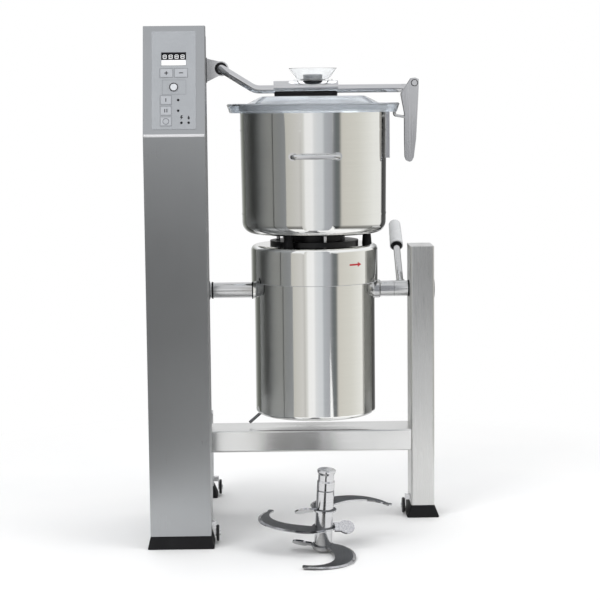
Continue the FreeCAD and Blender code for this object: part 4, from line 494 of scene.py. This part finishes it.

# Knives: hardened blade steel, matt on the flats, with the bevels and edges ground and polished. Their colour
# is painted by which way a face points:
# painted shade on the level flats and a painted highlight on the bevels and edges. The hub is turned from bar
# and polished lengthwise.
blade_shade_and_highlight = bpy.data.materials.new("blade_shade_and_highlight")
tree = node_tree(blade_shade_and_highlight)
link = tree.links.new
marks = add_node(tree, "ShaderNodeGroup", node_tree=grain,
                 inputs={"Stretch": (420.0, 420.0, 420.0), "Depth": 0.08})
place = add_node(tree, "ShaderNodeTexCoord")
facing = add_node(tree, "ShaderNodeSeparateXYZ")
link(place.outputs["Normal"], facing.inputs[0])
level_face = add_node(tree, "ShaderNodeMath", operation="ABSOLUTE")
link(facing.outputs["Z"], level_face.inputs[0])
# Faces that are not level get the polish and the painted highlight. Level flats get the painted shade.
bevel_polish_and_highlight = add_node(tree, "ShaderNodeMapRange", inputs={1: 0.90, 2: 0.985, 3: 1.0, 4: 0.0})
link(level_face.outputs[0], bevel_polish_and_highlight.inputs[0])
flat_painted_shade = ramp_between(tree, marks.outputs["Scratch"], (0.018, 0.021, 0.026), (0.085, 0.094, 0.11),
                         0.3, 0.7)
edge_painted_highlight = ramp_between(tree, marks.outputs["Scratch"], (0.38, 0.38, 0.40), (0.74, 0.74, 0.75),
                         0.3, 0.7)
blade_painted_tone = add_node(tree, "ShaderNodeMix", data_type="RGBA")
link(bevel_polish_and_highlight.outputs[0], blade_painted_tone.inputs[0])
link(flat_painted_shade, blade_painted_tone.inputs[6])
link(edge_painted_highlight, blade_painted_tone.inputs[7])
blade_rough = add_node(tree, "ShaderNodeMapRange", inputs={1: 0.0, 2: 1.0, 3: 0.30, 4: 0.10})
link(bevel_polish_and_highlight.outputs[0], blade_rough.inputs[0])
shader = add_node(tree, "ShaderNodeBsdfPrincipled", inputs={"Metallic": 1.0})
link(blade_painted_tone.outputs[2], shader.inputs["Base Color"])
link(blade_rough.outputs[0], shader.inputs["Roughness"])
link(marks.outputs["Normal"], shader.inputs["Normal"])
link(shader.outputs[0], add_node(tree, "ShaderNodeOutputMaterial").inputs[0])
turned_hub = steel("turned_hub", (0.72, 0.72, 0.73), (0.56, 0.56, 0.57), (0.10, 0.18),
                   (8.0, 8.0, 900.0), 0.06)
dress(blade_shade_and_highlight, "knife_lower", "knife_middle", "knife_upper")
dress(turned_hub, "knife_hub")

# Control panel: a satin film over a plate, raised keys of the same grey, dark lamp lenses and
# a window with four pale digits over a bright lower half.
panel_film = moulded("panel_film", (0.335, 0.35, 0.37), (0.365, 0.38, 0.40), (0.30, 0.42), 2200.0, 0.08)
key_film = moulded("key_film", (0.40, 0.415, 0.44), (0.43, 0.445, 0.47), (0.28, 0.40), 2200.0, 0.08)
lens_dark = moulded("lens_dark", (0.008, 0.008, 0.010), (0.014, 0.014, 0.016), (0.20, 0.30),
                    600.0, 0.02, shine=0.15)
ink_black = moulded("ink_black", (0.012, 0.012, 0.014), (0.02, 0.02, 0.022), (0.45, 0.55), 900.0, 0.05)
ink_grey = moulded("ink_grey", (0.13, 0.135, 0.15), (0.17, 0.175, 0.19), (0.45, 0.55), 900.0, 0.05)
ink_white = moulded("ink_white", (0.86, 0.87, 0.88), (0.92, 0.92, 0.92), (0.35, 0.45), 900.0, 0.05)
ink_pale = moulded("ink_pale", (0.60, 0.62, 0.65), (0.66, 0.68, 0.71), (0.35, 0.45), 900.0, 0.05)
ink_red = moulded("ink_red", (0.42, 0.015, 0.025), (0.50, 0.02, 0.03), (0.35, 0.45), 900.0, 0.05)
KEYS = ("key_plus", "key_minus", "key_stop", "key_one", "key_two", "key_pulse")
dress(panel_film, "control_plate")
dress(key_film, *KEYS)
dress(lens_dark, "panel_lenses")

casing_lo, casing_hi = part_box("column_casing")
BEND_Z = 0.992
HEAD_LEAN = 0.075
head_rise = casing_hi[2] - BEND_Z
slope = math.atan2(HEAD_LEAN, head_rise)
panel_origin = Vector(((casing_lo[0] + casing_hi[0]) / 2, casing_lo[1], BEND_Z))
panel_right = Vector((1, 0, 0))
panel_up = Vector((0, math.sin(slope), math.cos(slope)))
panel_out = Vector((0, -math.cos(slope), math.sin(slope)))


def on_panel(x, y, height):
    """A place on the sloped head, from millimetres across and up it."""
    return panel_origin + panel_right * (x / 1000) + panel_up * (y / 1000) + panel_out * (height / 1000)


def print_piece(name, shapes, material, body, base, thickness=0.12):
    """Thin printed marks, each a closed slab with an outline in panel millimetres."""
    work = bmesh.new()
    for outline in shapes:
        low = [work.verts.new(on_panel(x, y, base)) for x, y in outline]
        high = [work.verts.new(on_panel(x, y, base + thickness)) for x, y in outline]
        work.faces.new(list(reversed(low)))
        work.faces.new(high)
        for index in range(len(outline)):
            after = (index + 1) % len(outline)
            work.faces.new((low[index], low[after], high[after], high[index]))
    bmesh.ops.recalc_face_normals(work, faces=work.faces)
    mesh = bpy.data.meshes.new(name)
    work.to_mesh(mesh)
    work.free()
    piece = bpy.data.objects.new(name, mesh)
    bpy.context.collection.objects.link(piece)
    mesh.materials.append(material)
    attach(piece, body)


def bar(x, y, width, height):
    return [(x - width / 2, y - height / 2), (x + width / 2, y - height / 2),
            (x + width / 2, y + height / 2), (x - width / 2, y + height / 2)]


def ring_parts(x, y, radius, width, steps=32):
    """A ring as a row of short wedges."""
    parts = []
    for index in range(steps):
        a = 2 * math.pi * index / steps
        b = 2 * math.pi * (index + 1) / steps
        inner, outer = radius - width / 2, radius + width / 2
        parts.append([(x + inner * math.cos(a), y + inner * math.sin(a)),
                      (x + outer * math.cos(a), y + outer * math.sin(a)),
                      (x + outer * math.cos(b), y + outer * math.sin(b)),
                      (x + inner * math.cos(b), y + inner * math.sin(b))])
    return parts


def frame_lines(x, y, width, height, line):
    return [bar(x, y + height / 2, width, line), bar(x, y - height / 2, width, line),
            bar(x - width / 2, y, line, height - line), bar(x + width / 2, y, line, height - line)]


PLATE_FACE = 1.52
KEY_FACE = 2.42
SIGN_ROW = 152.0
SIGN_X = 17.3
STOP_Y = 117.5
STOP_FACE_R = 8.0
SPEED_X = -18.5
ONE_Y = 86.0
TWO_Y = 60.0
PULSE_Y = 34.0
OUTLINE = 0.5
plate_ink = []
for x, y, width, height in ((-SIGN_X, SIGN_ROW, 32.0, 23.0), (SIGN_X, SIGN_ROW, 32.0, 23.0),
                            (1.0, STOP_Y, 56.0, 35.0), (SPEED_X, ONE_Y, 28.0, 23.0),
                            (SPEED_X, TWO_Y, 28.0, 23.0), (SPEED_X, PULSE_Y, 28.0, 23.0)):
    plate_ink += frame_lines(x, y, width, height, OUTLINE)
print_piece("panel_outlines", plate_ink, ink_grey, "frame", PLATE_FACE)
bolt = [(17.0, 49.0), (21.0, 49.0), (19.0, 44.6), (22.4, 44.6), (15.6, 37.0), (17.6, 42.6),
        (14.8, 42.6)]
drop = [(35.0, 48.5), (37.4, 43.0), (37.6, 40.6), (36.4, 38.8), (33.6, 38.8), (32.4, 40.6),
        (32.6, 43.0)]
print_piece("panel_signs", [bolt, drop], ink_black, "frame", PLATE_FACE)
LAMPS = ((10.5, ONE_Y), (10.5, TWO_Y), (18.0, 30.5), (35.0, 30.5))
RIM_R = 2.7
RIM_W = 0.8
lamp_rims = []
for x, y in LAMPS:
    lamp_rims += ring_parts(x, y, RIM_R, RIM_W, 24)
print_piece("panel_lamp_rims", lamp_rims, ink_black, "frame", PLATE_FACE)
plus = [bar(-SIGN_X, SIGN_ROW, 9.0, 2.2), bar(-SIGN_X, SIGN_ROW + 2.8, 2.2, 3.4),
        bar(-SIGN_X, SIGN_ROW - 2.8, 2.2, 3.4)]
print_piece("key_plus_sign", plus, ink_black, "key_plus_cap", KEY_FACE)
print_piece("key_minus_sign", [bar(SIGN_X, SIGN_ROW, 10.0, 2.0)], ink_black, "key_minus_cap", KEY_FACE)
print_piece("key_stop_sign", ring_parts(0.0, STOP_Y, 9.4, 2.4), ink_black, "key_stop_cap", KEY_FACE)
disc = []
for index in range(40):
    angle = math.tau * index / 40
    disc.append((STOP_FACE_R * math.cos(angle), STOP_Y + STOP_FACE_R * math.sin(angle)))
print_piece("key_stop_face", [disc], ink_pale, "key_stop_cap", KEY_FACE)
print_piece("key_one_sign", [bar(SPEED_X, ONE_Y, 2.0, 8.5)], ink_black, "key_one_cap", KEY_FACE)
print_piece("key_two_sign", [bar(SPEED_X - 2.5, TWO_Y, 2.0, 8.5), bar(SPEED_X + 2.5, TWO_Y, 2.0, 8.5)],
            ink_black, "key_two_cap", KEY_FACE)
print_piece("key_pulse_sign", ring_parts(SPEED_X, PULSE_Y, 7.0, 1.4), ink_grey, "key_pulse_cap", KEY_FACE)

WINDOW_FACE = 1.22
DIGITS_Y = 192.0
LEVEL_STROKES = (4.34, 0.0, -4.34)
UPRIGHT_STROKES = ((-3.9, 2.17), (3.9, 2.17), (-3.9, -2.17), (3.9, -2.17))
digits = []
for centre in (-21.0, -7.0, 7.0, 21.0):
    digits += [bar(centre, DIGITS_Y + rise, 6.4, 1.5) for rise in LEVEL_STROKES]
    digits += [bar(centre + aside, DIGITS_Y + rise, 1.5, 3.432) for aside, rise in UPRIGHT_STROKES]
print_piece("display_digits", digits, ink_white, "frame", WINDOW_FACE)
print_piece("display_lower_half", [bar(0.0, 177.5, 58.0, 13.5)], ink_white, "frame", WINDOW_FACE)

# Turning arrow on the cap: a small red arrow sprayed through a stencil on the drum's right
# front, which shows the way the motor turns. It follows the curve of the cap.
cap_lo, cap_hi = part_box("motor_cap")
cap_radius = (cap_hi[0] - cap_lo[0]) / 2
ARROW_Z = 0.662
ARROW_TURN = math.radians(38.0)
work = bmesh.new()


def on_cap(u, v, out):
    angle = ARROW_TURN + u / cap_radius
    radius = cap_radius + out
    return Vector((AXIS_X + radius * math.sin(angle), AXIS_Y - radius * math.cos(angle), ARROW_Z + v))


TAIL, NECK, TIP = -0.0185, 0.0075, 0.0195
SHAFT_HALF = 0.0022
HEAD_HALF = 0.0062
PAINT_FROM, PAINT_TO = 0.00002, 0.00015
SHAFT_STEPS = 4
arrow_parts = [[(NECK, -HEAD_HALF), (TIP, 0.0), (NECK, HEAD_HALF)]]
for index in range(SHAFT_STEPS):
    start = TAIL + (NECK - TAIL) * index / SHAFT_STEPS
    end = TAIL + (NECK - TAIL) * (index + 1) / SHAFT_STEPS
    arrow_parts.append([(start, -SHAFT_HALF), (end, -SHAFT_HALF), (end, SHAFT_HALF), (start, SHAFT_HALF)])
for outline in arrow_parts:
    low = [work.verts.new(on_cap(u, v, PAINT_FROM)) for u, v in outline]
    high = [work.verts.new(on_cap(u, v, PAINT_TO)) for u, v in outline]
    work.faces.new(list(reversed(low)))
    work.faces.new(high)
    for index in range(len(outline)):
        after = (index + 1) % len(outline)
        work.faces.new((low[index], low[after], high[after], high[index]))
bmesh.ops.recalc_face_normals(work, faces=work.faces)
arrow_mesh = bpy.data.meshes.new("turning_arrow")
work.to_mesh(arrow_mesh)
work.free()
arrow = bpy.data.objects.new("turning_arrow", arrow_mesh)
bpy.context.collection.objects.link(arrow)
arrow_mesh.materials.append(ink_red)
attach(arrow, "tilt_head")

# Bend between the column's front and its sloped head: folded sheet. A thin strip along the fold, much paler
# than the casing and partly matt, is a painted highlight on the bend.
BEND_HALF = 0.0032
BEND_PROUD = 0.00015
BEND_SUNK = 0.0004
BEND_SHORT = 0.0015
BEND_STEPS = 14
# Pale colour and low metal: the painted highlight along the bend.
bend_painted_highlight = steel("bend_painted_highlight", (0.72, 0.72, 0.73), (0.66, 0.66, 0.67), (0.30, 0.38),
                    (5.0, 1500.0, 1500.0), 0.03, 0.0, 0.0, 0.05)
bend_painted_highlight.node_tree.nodes["Principled BSDF"].inputs["Metallic"].default_value = 0.35
work = bmesh.new()
skins = []
for index in range(BEND_STEPS + 1):
    along = index / BEND_STEPS
    reach = BEND_HALF * (2 * along - 1)
    on_line = panel_origin + (panel_up if reach > 0 else Vector((0, 0, 1))) * reach
    lean = slope * along
    out = Vector((0, -math.cos(lean), math.sin(lean)))
    ends = []
    for x in (casing_lo[0] + BEND_SHORT, casing_hi[0] - BEND_SHORT):
        spot = Vector((x, on_line.y, on_line.z))
        ends.append([work.verts.new(spot + out * BEND_PROUD), work.verts.new(spot - out * BEND_SUNK)])
    skins.append(ends)
for low, high in zip(skins, skins[1:]):
    work.faces.new((low[0][0], low[1][0], high[1][0], high[0][0]))
    work.faces.new((low[0][1], high[0][1], high[1][1], low[1][1]))
    for side in (0, 1):
        work.faces.new((low[side][0], high[side][0], high[side][1], low[side][1]))
for cap in (skins[0], skins[-1]):
    work.faces.new((cap[0][0], cap[1][0], cap[1][1], cap[0][1]))
bmesh.ops.recalc_face_normals(work, faces=work.faces)
bend_mesh = bpy.data.meshes.new("casing_bend")
work.to_mesh(bend_mesh)
work.free()
bend = bpy.data.objects.new("casing_bend", bend_mesh)
bpy.context.collection.objects.link(bend)
bend_mesh.materials.append(bend_painted_highlight)
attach(bend, "frame")


# Thin rings: the seam under the cap's edge, the black rings on the trunnion, in the tilt lever's
# collar and at the mouth of its grip, and the gap round the latch pin. Each is turned.
def turned_ring(name, centre, axis, inner, outer, thick, material, body, steps=96):
    """A ring with rounded corners, turned about an axis."""
    axis = Vector(axis).normalized()
    side = axis.orthogonal().normalized()
    other = axis.cross(side)
    corner = min(thick, outer - inner) * 0.25
    half = thick / 2
    profile = [(inner, -half), (outer - corner, -half), (outer, corner - half), (outer, half - corner),
               (outer - corner, half), (inner, half)]
    work = bmesh.new()
    rings = []
    for index in range(steps):
        angle = math.tau * index / steps
        spoke = side * math.cos(angle) + other * math.sin(angle)
        rings.append([work.verts.new(Vector(centre) + spoke * r + axis * h) for r, h in profile])
    for index in range(steps):
        one, two = rings[index], rings[(index + 1) % steps]
        for place in range(len(profile)):
            after = (place + 1) % len(profile)
            work.faces.new((one[place], one[after], two[after], two[place]))
    bmesh.ops.recalc_face_normals(work, faces=work.faces)
    mesh = bpy.data.meshes.new(name)
    work.to_mesh(mesh)
    work.free()
    ring = bpy.data.objects.new(name, mesh)
    bpy.context.collection.objects.link(ring)
    mesh.materials.append(material)
    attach(ring, body)


AXLE_Z = 0.588
DRUM_R = 0.154
SEAM_T = 0.0013
turned_ring("cap_seam", (AXIS_X, AXIS_Y, cap_lo[2] - 0.0007), (0, 0, 1), DRUM_R + 0.0002,
            cap_radius - 0.0004, SEAM_T, cast_alloy, "tilt_head", 128)

TUBE_R = 0.020
TUBE_RING_X = -0.2625
TUBE_RING_PROUD = 0.0016
TUBE_RING_W = 0.0040
turned_ring("trunnion_tube_ring", (AXIS_X + TUBE_RING_X, AXIS_Y, AXLE_Z), (1, 0, 0), TUBE_R + 0.0001,
            TUBE_R + TUBE_RING_PROUD, TUBE_RING_W, black_rubber, "frame")

COLLAR_SPLIT_X = 0.2039
COLLAR_SEAL_R = (0.0155, 0.0195)
turned_ring("collar_seal", (AXIS_X + COLLAR_SPLIT_X, AXIS_Y, AXLE_Z), (1, 0, 0), COLLAR_SEAL_R[0],
            COLLAR_SEAL_R[1], 0.0009, black_rubber, "tilt_head")

LEVER_LEAN = math.radians(55.0)
GRIP_RING_AT = 0.1708
GRIP_RING_R = (0.0091, 0.0150)
rod_lo, rod_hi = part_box("tilt_lever_rod")
back_or_front = 1 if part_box("tilt_lever_grip")[1][1] > rod_hi[1] else -1
lever_way = Vector((0, back_or_front * math.sin(LEVER_LEAN), math.cos(LEVER_LEAN)))
lever_root = Vector(((rod_lo[0] + rod_hi[0]) / 2, AXIS_Y, AXLE_Z))
turned_ring("grip_mouth_ring", lever_root + lever_way * GRIP_RING_AT, lever_way, GRIP_RING_R[0],
            GRIP_RING_R[1], 0.0022, black_rubber, "tilt_head", 48)

PIN_RING_W = 0.0020
pin_lo, pin_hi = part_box("latch_pin")
pin_centre = [(low + high) / 2 for low, high in zip(pin_lo, pin_hi)]
pin_radius = (pin_hi[2] - pin_lo[2]) / 2
lever_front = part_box("latch_lever")[0][1]
turned_ring("latch_pin_ring", (pin_centre[0], lever_front - 0.0004, pin_centre[2]), (0, 1, 0),
            pin_radius + 0.0002, pin_radius + PIN_RING_W, 0.0007, black_rubber, "latch", 48)


# Screws: low stainless heads in two rows, which hold the service panel at the back of the column.
# One tree sets out the rows, and they are made a plain mesh.
def screw_rows_tree():
    tree = bpy.data.node_groups.new("screw_rows", "GeometryNodeTree")
    face = tree.interface
    for label, kind, value in (("Width", "NodeSocketFloat", 0.1), ("Height", "NodeSocketFloat", 0.5),
                               ("Across", "NodeSocketInt", 2), ("Up", "NodeSocketInt", 4),
                               ("Head Radius", "NodeSocketFloat", 0.004),
                               ("Head Height", "NodeSocketFloat", 0.0018)):
        face.new_socket(name=label, in_out="INPUT", socket_type=kind).default_value = value
    face.new_socket(name="Turn", in_out="INPUT", socket_type="NodeSocketVector")
    face.new_socket(name="Place", in_out="INPUT", socket_type="NodeSocketVector")
    face.new_socket(name="Finish", in_out="INPUT", socket_type="NodeSocketMaterial")
    face.new_socket(name="Geometry", in_out="OUTPUT", socket_type="NodeSocketGeometry")
    given = tree.nodes.new("NodeGroupInput")
    result = tree.nodes.new("NodeGroupOutput")
    link = tree.links.new
    grid = add_node(tree, "GeometryNodeMeshGrid")
    link(given.outputs["Width"], grid.inputs["Size X"])
    link(given.outputs["Height"], grid.inputs["Size Y"])
    link(given.outputs["Across"], grid.inputs["Vertices X"])
    link(given.outputs["Up"], grid.inputs["Vertices Y"])
    head = add_node(tree, "GeometryNodeMeshCone", inputs={"Vertices": 24, "Side Segments": 1})
    narrower = add_node(tree, "ShaderNodeMath", operation="MULTIPLY", inputs={1: 0.72})
    link(given.outputs["Head Radius"], narrower.inputs[0])
    link(narrower.outputs[0], head.inputs["Radius Top"])
    link(given.outputs["Head Radius"], head.inputs["Radius Bottom"])
    link(given.outputs["Head Height"], head.inputs["Depth"])
    placed = add_node(tree, "GeometryNodeInstanceOnPoints")
    link(grid.outputs["Mesh"], placed.inputs["Points"])
    link(head.outputs["Mesh"], placed.inputs["Instance"])
    real = add_node(tree, "GeometryNodeRealizeInstances")
    turned = add_node(tree, "GeometryNodeTransform")
    link(placed.outputs["Instances"], turned.inputs["Geometry"])
    link(given.outputs["Turn"], turned.inputs["Rotation"])
    link(given.outputs["Place"], turned.inputs["Translation"])
    link(turned.outputs["Geometry"], real.inputs["Geometry"])
    finish = add_node(tree, "GeometryNodeSetMaterial")
    link(real.outputs["Geometry"], finish.inputs["Geometry"])
    link(given.outputs["Finish"], finish.inputs["Material"])
    link(finish.outputs["Geometry"], result.inputs["Geometry"])
    return tree


screw_steel = steel("screw_steel", (0.60, 0.60, 0.61), (0.50, 0.50, 0.51), (0.18, 0.28),
                    (400.0, 400.0, 400.0), 0.05)
screw_rows = screw_rows_tree()


def screws(name, body, values):
    """A plain mesh of screw heads, which stand on the face that Place and Turn give."""
    carrier = bpy.data.objects.new(name + "_rows", bpy.data.meshes.new(name + "_rows"))
    bpy.context.collection.objects.link(carrier)
    modifier = carrier.modifiers.new("rows", "NODES")
    modifier.node_group = screw_rows
    for item in screw_rows.interface.items_tree:
        if item.item_type == "SOCKET" and item.in_out == "INPUT" and item.name in values:
            modifier[item.identifier] = values[item.name]
    ready = bpy.context.evaluated_depsgraph_get()
    mesh = bpy.data.meshes.new_from_object(carrier.evaluated_get(ready))
    bpy.data.objects.remove(carrier)
    mesh.name = name
    piece = bpy.data.objects.new(name, mesh)
    bpy.context.collection.objects.link(piece)
    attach(piece, body)


panel_lo, panel_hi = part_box("rear_service_panel")
SCREW_INSET = 0.009
screws("service_panel_screws", "frame", {
    "Width": panel_hi[0] - panel_lo[0] - 2 * SCREW_INSET,
    "Height": panel_hi[2] - panel_lo[2] - 2 * SCREW_INSET,
    "Across": 2, "Up": 5, "Head Radius": 0.004, "Head Height": 0.0018, "Finish": screw_steel,
    "Turn": (-math.pi / 2, 0.0, 0.0),
    "Place": ((panel_lo[0] + panel_hi[0]) / 2, panel_hi[1], (panel_lo[2] + panel_hi[2]) / 2)})
